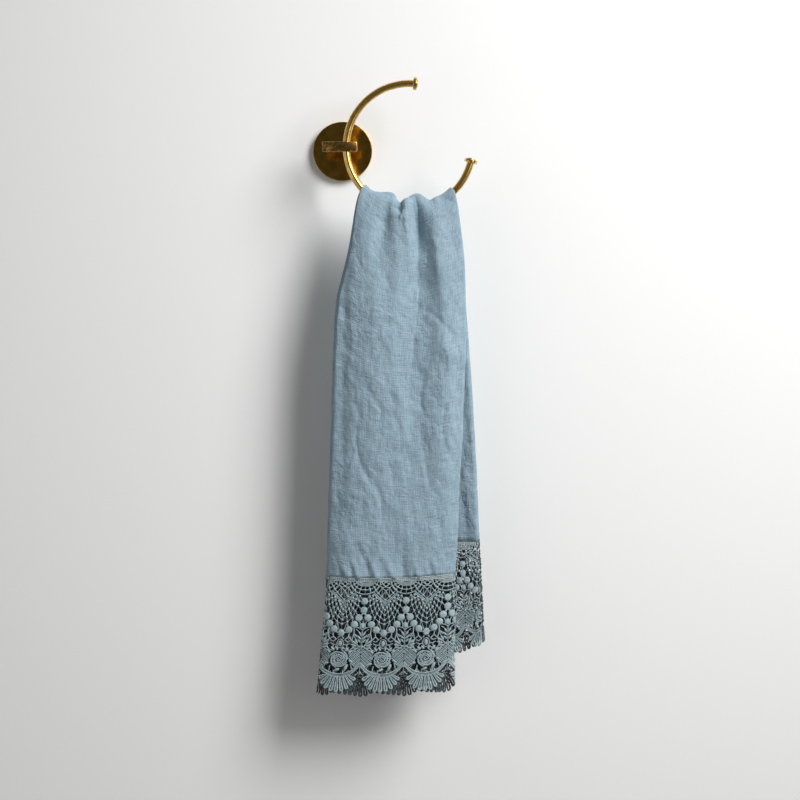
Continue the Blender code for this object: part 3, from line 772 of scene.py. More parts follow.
NET_TIES = (
    ((0, 21.6), (0, 45)), ((1.5, 20.9), (1.75, 25.9)), ((2.9, 20), (3.05, 23.4)),
    ((1.75, 25.9), (0, 22.4)), ((4.1, 20.6), (6.1, 23.5)), ((5.2, 18.4), (7.1, 20.1)),
    ((4.4, 38.5), (5.4, 43)), ((4.4, 38.5), (2, 46)), ((8, 34.7), (8.9, 38.8)),
    ((10.45, 29.3), (12.6, 32.6)), ((12.3, 24.3), (15.2, 27)), ((12.9, 20), (15.2, 20.4)),
    ((13.4, 15.8), (15.6, 18.2)), ((13.4, 15.8), (10.2, 18.5), (7.7, 17.4)), ((10.6, 15.4), (12.9, 20)),
    ((7.7, 17.4), (9.6, 22.5)),
)


def net_cords():
    """Fine threads from bobble to bobble, round the arcs and across them."""
    across = [[arc[k] for arc in NET_ARCS if k < len(arc)] for k in range(1, 6)]
    return mirrored(cords((NET_CORD, *line) for line in (*NET_ARCS, *across, *NET_TIES)))


# The crossing cords in the triangle between two swags, and the V below them: the radius
# and the points of each.
LATTICE = (
    (0.45, (9.9, 12.6), (6.6, 15.6), (3.3, 18.6), (0, 21.3)),
    (0.45, (10.4, 13.8), (6.9, 16.9), (3.4, 19.9), (0, 22.5)), (0.38, *V_ARC),
    (0.38, (0, 19.4), (0, 21.4)), (0.42, *bow(0, 5.4, 1.9, 1.6, -90, 90, 6)),
    (0.36, *bow(4, 4.4, 1.1, 1.2, 0, 360, 6)), (0.4, (1.9, 5.4), (2.9, 4.6)),
    (0.38, (0, 11.4), (3.1, 16.2), (5, 17.2)), (0.38, (3, 8.6), (6.2, 13.2), (8, 14.4)),
    (0.4, (5.4, 6.2), (3, 8.6), (0, 11.4)), (0.4, (3.2, 5), (0, 7.8)), (0.38, (0, 7.8), (3, 8.6)),
    (0.38, (5.4, 6.2), (8.6, 10.6)), (0.3, (0, 11.4), (0, 19.4)), (0.28, (3, 8.6), (3.1, 16.2)),
)
# Bars that join the discs, the seed's loop and its branches.
CHAIN = (
    (0.7, (HALF, 22), (HALF, 27)), (0.8, (HALF - 0.4, 30.5), (14.2, 33.8)),
    (0.55, (6, 47.2), (1.8, 48.4)), (0.55, (HALF, 36.2), (HALF, 40)),
    (0.45, (14.4, 37.6), (15.6, 40.6), (15.3, 43.6), (HALF, 45.6)),
    (0.45, (12.2, 42.4), (14, 43.6), (15.3, 43.6)), (0.5, (6.9, 48.6), (6.3, 51.6), (3.6, 54.2)),
    (0.5, (6.3, 51.6), (9.3, 54.4), (10.6, 57.6), (10.4, 61)),
    (0.5, (10.4, 43.4), (10.7, 48.6), (9.3, 54.4)), (0.5, (10.7, 48.6), (13.2, 51.6)),
    (0.55, (3.2, 61.4), (6.2, 64), (8.8, 63.2), (10.4, 61), (12.8, 59.6)),
    (0.5, (1.4, 51.6), (2.6, 53.4)), (0.45, (2.7, 58.4), (5.4, 58.9), (8, 57.4)),
    (0.45, (5.4, 58.9), (6, 62)), (0.45, (3.6, 54.2), (5.6, 56), (8.2, 55.2)),
    (0.4, *bow(0, 57.7, 2.7, 3.9, -90, 90, 9)),
)


def leaf(u, q, tip_u, tip_q, half_width):
    """A pointed leaf from its base to its tip."""
    shares = (0.0, 0.15, 0.4, 0.65, 0.85, 1.0)
    widths = (0.5, 0.85, 1.0, 0.8, 0.45, 0.15)
    line = [(u + (tip_u - u) * s, q + (tip_q - q) * s) for s in shares]
    return line, [half_width * w for w in widths]


# The spray of leaves where two repeats meet: base, tip and half width, then its stems.
PALMETTE_LEAVES = (
    (HALF, 50, HALF, 44.6, 1), (HALF - 0.6, 50.6, HALF - 3, 46.4, 0.95),
    (HALF - 0.8, 53.4, HALF - 4.4, 49.8, 0.95), (HALF - 0.8, 56.4, HALF - 3.4, 53.4, 0.85),
    (HALF - 3.4, 57, HALF - 5.6, 52.4, 1), (HALF - 4, 57.8, HALF - 8.6, 54.2, 1),
    (HALF - 3.8, 59.6, HALF - 8.8, 58, 0.95), (HALF - 2.6, 61.6, HALF - 7.4, 61.4, 0.85),
)
PALMETTE_STEMS = (
    ((0.6, 0.75, 0.6), (HALF, 49.8), (HALF, 57), (HALF, 62)),
    ((0.5, 0.55, 0.5), (HALF, 61), (HALF - 2.4, 59.6), (HALF - 4.4, 57)),
    (0.35, (HALF - 3, 46.4), (HALF - 5.2, 44.8)), (0.35, (HALF - 4.4, 49.8), (HALF - 6.9, 48.6)),
    (0.35, (HALF - 5.6, 52.4), (HALF - 6.4, 50.4)),
)


def palmette_cords():
    return mirrored([leaf(*row) for row in PALMETTE_LEAVES] + cords(PALMETTE_STEMS))


FILL_OUTLINE = [
    (HALF, 59.6), (13.6, 63), (9, 65.4), (7.6, 69), (8.2, 73), (12.6, 78.4),
    (HALF, 73.5), (HALF + 4, 77), (HALF + 9, 70), (HALF + 4, 62),
]
FILL_EDGE = ((HALF, 58.8), (13.4, 62.2), (9.6, 64.4), (7.9, 66.8))


def fill_cords():
    """The lozenge mesh beside the rose: close ribs one way and thinner ones across them."""
    lines = []
    for hand, spacing, radius in ((1, 1.9, 0.4), (-1, 2.9, 0.32)):
        for first in range(-14, 15):
            line = [(HALF + first * spacing + hand * (k - 15) * 0.5, 57.0 + k * 0.5) for k in range(60)]
            line = [point for point in line if inside(point, FILL_OUTLINE) and point[0] <= HALF]
            if len(line) > 2:
                lines.append((radius, line[0], line[len(line) // 2], line[-1]))
    return mirrored(cords([*lines, (0.55, *FILL_EDGE)]))


ROSE_Q = 71.6
# A rose of rolled petals: angles from and to, reach there, radius.
ROSE_PETALS = (
    (-120, 330, 0.5, 2.7, 0.5), (-80, 115, 2.9, 4.8, 0.62), (60, 235, 3, 4.8, 0.62),
    (190, 350, 3, 4.7, 0.62), (-45, 80, 5.3, 7.3, 0.68), (40, 165, 5.4, 7.2, 0.68),
    (125, 240, 5.3, 7.3, 0.68), (205, 335, 5.4, 7.2, 0.68), (-75, 0, 7.2, 8.2, 0.55),
    (182, 255, 7.2, 8.2, 0.55),
)
# The leaves round it, and their stems.
ROSE_LEAVES = (
    (-7.3, 66, -10.8, 63.2, 1.2), (-4.8, 64.2, -7.6, 60.9, 1.1), (7.2, 65.8, 10.6, 63.2, 1.2),
    (4.6, 64, 7, 60.8, 1.1), (1.5, 63.5, 3.4, 60.2, 1), (-1.5, 63.5, -3.2, 60.4, 1),
    (-7.2, 75.6, -4.6, 82.6, 1.4), (-1, 79.6, 3.4, 82.2, 1.4), (8, 74.6, 11.6, 76.2, 1.2),
    (-8.4, 72, -11.6, 74.2, 1.2),
)
ROSE_STEMS = (
    (0.45, (6.6, 77.2), (7.4, 82.8)), (0.45, (3, 80.8), (3.2, 84)), (0.45, (-4, 81), (-4.2, 84)),
    (0.42, (-9.8, 74.8), (-11, 79.6)), (0.42, (10.6, 76.4), (12.2, 79)),
)


def petal_arc(start, stop, near, far, radius):
    """A rolled petal edge: an arc round the rose's middle, thick in its own middle."""
    line, radii = [], []
    steps = max(4, round(abs(stop - start) / 19))
    for k in range(steps + 1):
        s = k / steps
        turn, reach = math.radians(start + (stop - start) * s), near + (far - near) * s
        line.append((reach * math.cos(turn), ROSE_Q + reach * math.sin(turn)))
        radii.append(radius * (0.55 + 0.45 * math.sin(math.pi * min(max(s, 0.06), 0.94)) ** 0.5))
    return line, radii


def rose_cords():
    """The rose's petals over a ground of slanting ribs, with leaves round it."""
    ribs = []
    for across in range(-4, 5):
        half = 0.7 * math.sqrt(6.6**2 - (1.5 * across) ** 2)
        u, q = 1.05 * across, ROSE_Q + 1.05 * across
        ribs.append((0.33, (u - half, q + half), (u + half, q - half)))
    lines = [petal_arc(*row) for row in ROSE_PETALS] + cords(ribs)
    return lines + [leaf(*row) for row in ROSE_LEAVES] + cords(ROSE_STEMS)


SCALLOP = (
    (HALF, 75.6), (15.6, 77.4), (13.4, 80.2), (10.6, 82.6), (7.4, 84.3), (3.8, 85.3), (0, 85.6),
)
SCALLOP_STEMS = (
    (0.45, (HALF, 77.5), (HALF, 81.4)), (0.45, (HALF, 81.4), (15.9, 83.6), (14.2, 84.8)),
    ((0.9, 0.6), (HALF, 81.4), (HALF, 84.2)),
)


def scallop_cords():
    """The triple cord over each fan, from one cusp to the next."""
    lines = [
        (radius, *((u, q + lower) for u, q in SCALLOP))
        for lower, radius in ((-1.25, 0.6), (0.0, 0.3), (1.25, 0.6))
    ]
    return mirrored(cords([*lines, *SCALLOP_STEMS]))


FAN = (
    # where each petal starts and where it ends, from the middle to the right
    ((0, 86.6), (0, 100)), ((2.2, 86.6), (4.5, 99.3)), ((4.4, 86.3), (8.6, 97.1)),
    ((6.6, 85.9), (12, 93.4)), ((8.8, 85.3), (14.2, 88.9)),
)
PETAL = ((0, 0.35), (0.45, 0.7), (0.78, 1), (0.92, 0.95), (0.985, 0.55), (1, 0))  # share, aside
PETAL_RADII = (0.45, 0.58, 0.78, 0.82, 0.8, 0.76, 0.8, 0.82, 0.78, 0.58, 0.45)


def fan_petals():
    """Nine long petals, each a cord that runs out, round the tip and back."""
    lines = []
    for hand in (-1, 1):
        for base, tip in FAN if hand > 0 else FAN[1:]:
            along = np.array(tip) - base
            across = np.array([-along[1], along[0]]) / np.linalg.norm(along)
            line = [base + along * s + across * aside for s, aside in PETAL]
            line += [p - 2 * across * np.dot(p - line[-1], across) for p in reversed(line[:-1])]
            lines.append(([(hand * u, q) for u, q in line], PETAL_RADII))
    return lines


def lace_lines():
    lines = heading_cords() + swag_cords() + mirrored(cords(LATTICE)) + net_cords()
    lines += mirrored(cords(CHAIN)) + palmette_cords() + fill_cords() + rose_cords()
    return lines + scallop_cords() + fan_petals()


def both_hands(dots):
    """Each dot, and its mirror image beside it unless it stands on the middle line."""
    return [(hand * u, *rest) for u, *rest in dots for hand in ((1, -1) if u else (1,))]


def lace_bobbles():
    """The net's and the V's bobbles, those on the swags and the lattice's three knots."""
    dots = both_hands((u, q, 1.05, 1.15, 1.05) for arc in (*NET_ARCS, V_ARC) for u, q in arc)
    for turn in SWAG_TURNS:
        dot = (*on_swag(1, turn), 1.05, 1.1, 0.95)
        # the one where two repeats meet is the next repeat's too
        dots += [dot] if turn == 90 else both_hands([dot])
    return dots + [(0, 11.4, 0.8, 0.85, 0.85)] + both_hands([(3, 8.6, 0.75, 0.8, 0.8)])


# ---- the tree that repeats the lace
LACE_INPUTS = (
    ("Cords", "Object"), ("Discs", "Object"), ("Bobbles", "Object"), ("Repeats", "Int"),
    ("Repeat width", "Float"), ("First middle", "Float"), ("Cord sides", "Int"),
)


def lace_tree(material):
    """Cords swept along a motif's lines, domes on its points, and both repeated in a row."""
    tree = bpy.data.node_groups.new("lace_repeats", "GeometryNodeTree")
    sockets = {
        name: tree.interface.new_socket(name=name, in_out="INPUT", socket_type="NodeSocket" + kind)
        for name, kind in LACE_INPUTS
    }
    tree.interface.new_socket(name="Geometry", in_out="OUTPUT", socket_type="NodeSocketGeometry")
    given = add(tree, "NodeGroupInput").outputs
    lines, discs, bobbles = (
        add(tree, "GeometryNodeObjectInfo", {"Object": given[name]}, transform_space="ORIGINAL")
        for name in ("Cords", "Discs", "Bobbles")
    )
    section = {"Resolution": given["Cord sides"], "Radius": 1}
    swept = add(tree, "GeometryNodeCurveToMesh", {
        "Curve": lines.outputs["Geometry"],
        "Profile Curve": add(tree, "GeometryNodeCurvePrimitiveCircle", section),
        "Scale": add(tree, "GeometryNodeInputRadius"),
        "Fill Caps": True,
    })
    size = add(tree, "GeometryNodeInputNamedAttribute", {"Name": "size"}, data_type="FLOAT_VECTOR")
    motif = add(tree, "GeometryNodeJoinGeometry")
    on_points = "GeometryNodeInstanceOnPoints"
    for points, segments, rings in ((discs, 14, 5), (bobbles, 8, 4)):
        dome = {"Segments": segments, "Rings": rings, "Radius": 1}
        dome = add(tree, "GeometryNodeMeshUVSphere", dome)
        domes = {"Points": points.outputs["Geometry"], "Instance": dome, "Scale": size}
        feed(tree, motif, {"Geometry": add(tree, on_points, domes)})
    feed(tree, motif, {"Geometry": swept})
    start, step = (
        add(tree, "ShaderNodeCombineXYZ", {"X": given[name]}) for name in ("First middle", "Repeat width")
    )
    row = {"Count": given["Repeats"], "Start Location": start, "Offset": step}
    row = add(tree, "GeometryNodeMeshLine", row, mode="OFFSET")
    repeats = add(tree, on_points, {"Points": row, "Instance": motif})
    real = add(tree, "GeometryNodeRealizeInstances", {"Geometry": repeats})
    dressed = add(tree, "GeometryNodeSetMaterial", {"Geometry": real, "Material": material})
    add(tree, "NodeGroupOutput", {"Geometry": dressed})
    return tree, sockets


def run_tree(tree, sockets, values, name):
    """The tree's result as a plain mesh; the carrier and the modifier are removed."""
    carrier = helper(name + "_carrier", bpy.data.meshes.new(name + "_carrier"))
    modifier = carrier.modifiers.new("tree", "NODES")
    modifier.node_group = tree
    for key, value in values.items():
        modifier[sockets[key].identifier] = value
    return evaluated_copy(carrier, name)


def lines_object(name, lines):
    """The motif's lines as one curve object with a radius at each point."""
    curve = bpy.data.curves.new(name, "CURVE")
    curve.dimensions = "3D"
    for line, radii in lines:
        spline = curve.splines.new("POLY")
        spline.points.add(len(line) - 1)
        for point, (u, q), radius in zip(spline.points, line, radii):
            point.co = (u * MM, -q * MM, 0.0, 1.0)
            point.radius = radius * MM
    return helper(name, curve)


def dots_object(name, dots):
    """The motif's dots as loose points with a size each."""
    mesh = bpy.data.meshes.new(name)
    mesh.from_pydata([(dot[0] * MM, -dot[1] * MM, 0.0) for dot in dots], [], [])
    sizes = mesh.attributes.new("size", "FLOAT_VECTOR", "POINT")
    for k, dot in enumerate(dots):
        sizes.data[k].vector = [size * MM for size in dot[2:]]
    return helper(name, mesh)


# ---- settings
def colour_setting(name, description, code):
    return bpy.props.FloatVectorProperty(
        name=name, description=description, default=linear(code), subtype="COLOR", min=0.0, max=1.0
    )


def size_setting(name, description, size):
    return bpy.props.FloatProperty(
        name=name, description=description, default=size * MM, unit="LENGTH", precision=5
    )


def light_setting(name, description, level, unit="NONE"):
    return bpy.props.FloatProperty(
        name=name, description=description, default=level, min=0.0, unit=unit
    )


class TowelSettings(bpy.types.PropertyGroup):
    """Sizes and colours of the towel."""

    sheet: size_setting("Linen thickness", "Thickness of one layer of linen", SHEET)
    linen_light: colour_setting("Linen, light", "Linen where the yarn is thick and pale", "95ABB8")
    linen_dark: colour_setting("Linen, dark", "Linen between the slubs", "78909E")
    lace_light: colour_setting("Lace, light", "Lace where it has faded", "AEC0C3")
    lace_dark: colour_setting("Lace, dark", "Lace where the dye is deep", "90A4A9")
    # painted shade: the dark colour given to the lace layers that are folded in
    lace_painted_shade: colour_setting("Lace, inside", "Lace on the layers that are folded in", "384345")
    heading: colour_setting("Heading", "The lace's heading along the seam", "BCC8CA")


class HolderSettings(bpy.types.PropertyGroup):
    """Sizes and colours of the ring and its wall plate."""

    rod: size_setting("Rod diameter", "Thickness of the ring's brass rod", ROD_DIAMETER)
    light: colour_setting("Brass, light", "Polished brass", "E8C070")
    dark: colour_setting("Brass, dark", "Brass darkened with age", "CB9C4A")
    bar_light: colour_setting("Bar, light", "The sanded bar where it is rubbed", "D8A658")
    bar_dark: colour_setting("Bar, dark", "The sanded bar where it has darkened", "4C3212")
    plate_light: colour_setting("Plate, light", "The plate where it is rubbed", "DDB04E")
    plate_dark: colour_setting("Plate, dark", "The plate where it has darkened", "AD7E2A")


class StageSettings(bpy.types.PropertyGroup):
    """The wall, the floor and the light."""

    wall: colour_setting("Wall", "The painted wall and the floor", "F2F2F1")
    key: light_setting("Key light", "Power of the main light", 14.0, "POWER")
    low: light_setting("Low light", "Power of the narrow light beside it", 0.7, "POWER")
    fill: light_setting("Fill", "Brightness of the room round it", 0.125)
    left: light_setting("Left wall", "Brightness of the room's pale left wall", 0.62)


# ---- operators
class HANDTOWEL_OT_holder(bpy.types.Operator):
    """Build the wall plate, the stem and the bar that the ring passes through"""

    bl_idname = "hand_towel.holder"
    bl_label = "Wall plate and bar"

    def execute(self, context):
        settings = context.scene.hand_towel_holder
        light, dark = settings.plate_light, settings.plate_dark
        turned = brass("darkened_brass", light, dark, roughness=0.13, grain=0.02)
        radius, edge = PLATE_DIAMETER / 2, PLATE_BACK_EDGE
        profile = [(0, 0), (radius - edge, 0), (radius, edge)]
        profile += rounded((radius, PLATE_DEPTH), (radius, 0), (0, PLATE_DEPTH), PLATE_EDGE)
        profile += [(radius * share, PLATE_DEPTH) for share in (0.6, 0.2, 0)]
        self.along_y("wall_plate", profile, 128, 0.0, turned)
        length = -RING_Y - PLATE_DEPTH - BAR_DEPTH / 2 - 2 * GAP
        radius = STEM_DIAMETER / 2
        profile = [(0, 0), (radius, 0), (radius, length), (0, length)]
        self.along_y("stem", profile, 48, -PLATE_DEPTH - GAP, turned)
        # the bar was cast and only sanded, so its faces are grainy
        light, dark = settings.bar_light, settings.bar_dark
        self.bar(brass("sanded_brass", light, dark, roughness=0.24, grain=0.5, patch=2.2))
        return {"FINISHED"}

    def along_y(self, node, profile, sides, back, material):
        """A turned piece whose profile runs from the wall side towards the room."""
        points, faces = lathe(profile, sides)
        points = np.stack([points[:, 0], back - points[:, 2], points[:, 1]], -1)
        name = node + "_turned"
        new_piece(name, finish_mesh(mesh_from(name, points, faces)), material, node)

    def bar(self, material):
        """A block with bevelled edges, bored for the ring."""
        place, size = Matrix.Translation((0, RING_Y * MM, 0)), (BAR_WIDTH, BAR_DEPTH, BAR_HEIGHT)
        size = Matrix.Diagonal([length * MM for length in size] + [1])
        bar = blank("bar_blank", bmesh.ops.create_cube, size=1.0, matrix=place @ size)
        bevel = bar.modifiers.new("edge", "BEVEL")
        bevel.width = BAR_EDGE * MM
        bevel.segments = 2
        bore = {"radius1": BAR_BORE / 2 * MM, "radius2": BAR_BORE / 2 * MM, "depth": BAR_HEIGHT * 2 * MM}
        place = Matrix.Translation(((RING_X - RING_RADIUS) * MM, RING_Y * MM, 0))
        make = bmesh.ops.create_cone
        cutter = blank("bar_bore", make, cap_ends=True, segments=48, matrix=place, **bore)
        cut = bar.modifiers.new("bore", "BOOLEAN")
        cut.operation = "DIFFERENCE"
        cut.object = cutter
        mesh = evaluated_copy(bar, "clamp_bar_bevelled")
        bpy.data.objects.remove(cutter, do_unlink=True)
        new_piece(mesh.name, finish_mesh(mesh, 25.0), material, "clamp_bar")


class HANDTOWEL_OT_ring(bpy.types.Operator):
    """Build the open ring and the two turned caps on its ends"""

    bl_idname = "hand_towel.ring"
    bl_label = "Ring and caps"

    def execute(self, context):
        settings = context.scene.hand_towel_holder
        light, dark = settings.light, settings.dark
        material = brass("aged_polished_brass", light, dark, roughness=0.24, grain=0.01)
        self.ring(material, settings.rod / 2 / MM)
        self.cap("end_cap_top", RING_START, -1, material)
        self.cap("end_cap_side", RING_END, 1, material)
        return {"FINISHED"}

    def ring(self, material, rod):
        steps, sides = 300, 48
        points = []
        for k in range(steps + 1):
            turn = math.radians(RING_START + (RING_END - RING_START) * k / steps)
            for j in range(sides):
                swing = 2 * math.pi * j / sides
                reach = RING_RADIUS + rod * math.cos(swing)
                x = RING_X + reach * math.cos(turn)
                points.append((x, RING_Y + rod * math.sin(swing), reach * math.sin(turn)))
        faces = grid_faces(steps + 1, sides, closed=True)
        faces += [tuple(range(first, first + sides)) for first in (0, steps * sides)]
        mesh = finish_mesh(mesh_from("ring_rod", points, faces))
        new_piece("ring_rod", mesh, material, "ring")

    def cap(self, node, angle, outwards, material):
        radius, boss = CAP_DIAMETER / 2, CAP_BOSS_DIAMETER / 2
        low, high = GAP, GAP + CAP_DEPTH
        top = high + CAP_BOSS_DEPTH
        profile = [(0, low), *rounded((radius, low), (0, low), (radius, high), CAP_EDGE, 3)]
        profile += rounded((radius, high), (radius, low), (0, high), CAP_EDGE, 3)
        profile += [(boss, high), *rounded((boss, top), (boss, high), (0, top), CAP_BOSS_EDGE, 3)]
        points, faces = lathe([*profile, (0, top)], 64)
        turn = math.radians(angle)
        along = Vector((-math.sin(turn), 0, math.cos(turn))) * outwards
        rotation = np.array(along.to_track_quat("Z", "Y").to_matrix())
        place = [RING_X + RING_RADIUS * math.cos(turn), RING_Y, RING_RADIUS * math.sin(turn)]
        name = node + "_turned"
        mesh = finish_mesh(mesh_from(name, points @ rotation.T + place, faces))
        new_piece(name, mesh, material, node)


FRONT_ROWS, ROD_ROWS, BACK_ROWS = 158, 17, 62
CLOSER_AT_ROD = 1.35  # the rows stand closer together towards the rod


class HANDTOWEL_OT_linen(bpy.types.Operator):
    """Build the folded linen panel from its flat cut"""

    bl_idname = "hand_towel.linen"
    bl_label = "Linen panel"

    def columns(self):
        """Distances along the flat width, close together where the cloth is seen."""
        columns, start = [], 0.0
        for kind, length, first, _, radius in STRETCHES:
            if kind.endswith("fold"):
                places = np.linspace(0, length, 11 if radius == WIDE_FOLD else 7)
            elif first == 3:  # the layer at the back, which shows at the right
                hidden = np.linspace(0, length * 0.75, 13)
                places = np.concatenate([hidden, np.linspace(length * 0.76, length, 15)])
            else:
                places = np.linspace(0, length, 21 if first else 105)
            columns += [start + place for place in places[:-1]]
            start += length
        return np.array([*columns, WIDTH])

    def ways(self):
        """Rows from the front seam over the rod to the back seam."""
        front = (1 - np.linspace(0, 1, FRONT_ROWS)) ** CLOSER_AT_ROD
        top, behind = np.linspace(0, 1, ROD_ROWS), np.linspace(0, 1, BACK_ROWS)
        return np.concatenate([-front[:-1], top, 1 + behind[1:]])

    def execute(self, context):
        settings = context.scene.hand_towel
        columns = self.columns()
        place = fold_map(self.ways(), columns)
        rows, count = place.shape[:2]
        steps = np.linalg.norm(np.diff(place[:, count // 2], axis=0), axis=1)
        run = np.concatenate([[0], np.cumsum(steps)])
        mesh = mesh_from("linen_folded", place.reshape(-1, 3), grid_faces(rows, count))
        keep_flat(mesh, np.tile(columns, rows), np.repeat(run, count))
        mesh.shade_smooth()
        piece = new_piece("linen_folded", mesh, woven_linen(settings), "linen_panel")
        solid = piece.modifiers.new("thickness", "SOLIDIFY")
        solid.thickness = settings.sheet
        solid.offset = 0.0
        solid.use_even_offset = False
        return {"FINISHED"}


# Painted shade on the folded-in lace: the layer where it starts, how many layers it takes to grow, and
# where it ends on the back lace; then where the fans' tips start, how long they take, and the share of
# painted shade they lose
PAINTED_SHADE_FROM, PAINTED_SHADE_WITHIN, BACK_PAINTED_SHADE_TO = 0.3, 0.5, 2.7  # in layers from the outer one
TIPS_FROM, TIPS_WITHIN, TIP_SHADE_LOSS = 84, 6, 0.15  # millimetres down, and the share lost


class HANDTOWEL_OT_lace(bpy.types.Operator):
    """Build the two lace ends from one repeated motif and sew them on"""

    bl_idname = "hand_towel.lace"
    bl_label = "Lace ends"

    def execute(self, context):
        material = lace_cord(context.scene.hand_towel)
        discs = [*DISCS, *((-u, *rest) for u, *rest in DISCS if 0 < u < HALF)]
        values = {
            "Cords": lines_object("motif_cords", lace_lines()),
            "Discs": dots_object("motif_discs", discs),
            "Bobbles": dots_object("motif_bobbles", lace_bobbles()),
            "Repeats": REPEATS,
            "Repeat width": REPEAT * MM,
            "Cord sides": CORD_SIDES,
        }
        tree, sockets = lace_tree(material)
        for node, side, first in (("lace_front", -1, FRONT_FIRST_FAN), ("lace_back", 1, BACK_FIRST_FAN)):
            values["First middle"] = (first - REPEAT) * MM
            mesh = run_tree(tree, sockets, values, node + "_corded")
            self.trim(mesh)
            self.put_on(mesh, side)
            piece = new_piece(node + "_corded", mesh, material, node)
        for name in ("Cords", "Discs", "Bobbles"):
            bpy.data.objects.remove(values[name], do_unlink=True)
        return {"FINISHED"}

    def trim(self, mesh):
        """Cut the row of repeats at the cloth's two free edges and close the cuts."""
        bm = bmesh.new()
        bm.from_mesh(mesh)
        for at, way in ((TRIM * MM, -1), ((WIDTH - TRIM) * MM, 1)):
            plane = {"plane_co": (at, 0, 0), "plane_no": (way, 0, 0)}
            everything = bm.verts[:] + bm.edges[:] + bm.faces[:]
            cut = bmesh.ops.bisect_plane(bm, geom=everything, clear_outer=True, **plane)
            edges = [e for e in cut["geom_cut"] if isinstance(e, bmesh.types.BMEdge)]
            bmesh.ops.holes_fill(bm, edges=edges)
        bmesh.ops.recalc_face_normals(bm, faces=bm.faces)
        bm.to_mesh(mesh)
        bm.free()

    def put_on(self, mesh, side):
        """Lay the flat lace on the folded form, with its flat places and painted shade on its folded-in
        layers.
        """
        flat = np.empty(len(mesh.vertices) * 3)
        mesh.vertices.foreach_get("co", flat)
        flat = flat.reshape(-1, 3) / MM
        at, down = flat[:, 0], -flat[:, 1]
        place = put_on_lace_end(side, at, down, flat[:, 2] * FLATTEN)
        mesh.vertices.foreach_set("co", (place * MM).ravel())
        # painted shade on the layers that are folded in, a little less at the fans' tips
        layer = in_section(at)[1]
        painted_shade = np.clip((layer - PAINTED_SHADE_FROM) / PAINTED_SHADE_WITHIN, 0, 1)
        if side > 0:
            painted_shade = painted_shade * np.clip((BACK_PAINTED_SHADE_TO - layer) / PAINTED_SHADE_WITHIN, 0, 1)
        painted_shade = painted_shade * (1 - TIP_SHADE_LOSS * np.clip((down - TIPS_FROM) / TIPS_WITHIN, 0, 1))
        dye = mesh.attributes.new("kept_dye", "FLOAT", "POINT")
        dye.data.foreach_set("value", painted_shade.astype(np.float32))
        keep_flat(mesh, at, down)
        mesh.update()
        mesh.shade_smooth()


WALL = 0.5  # just behind the plate's back face
FLOOR = -1900
TARGET = (0.055, -0.05, -0.22)
LIGHT_AWAY = 1.8
CAMERA = (0.133, -2.448, -0.2234)
CAMERA_TARGET = (0.0531, -0.048, -0.2234)
HALF_FRAME = 0.3528  # half the width that the frame shows at the ring
SENSOR = 36.0


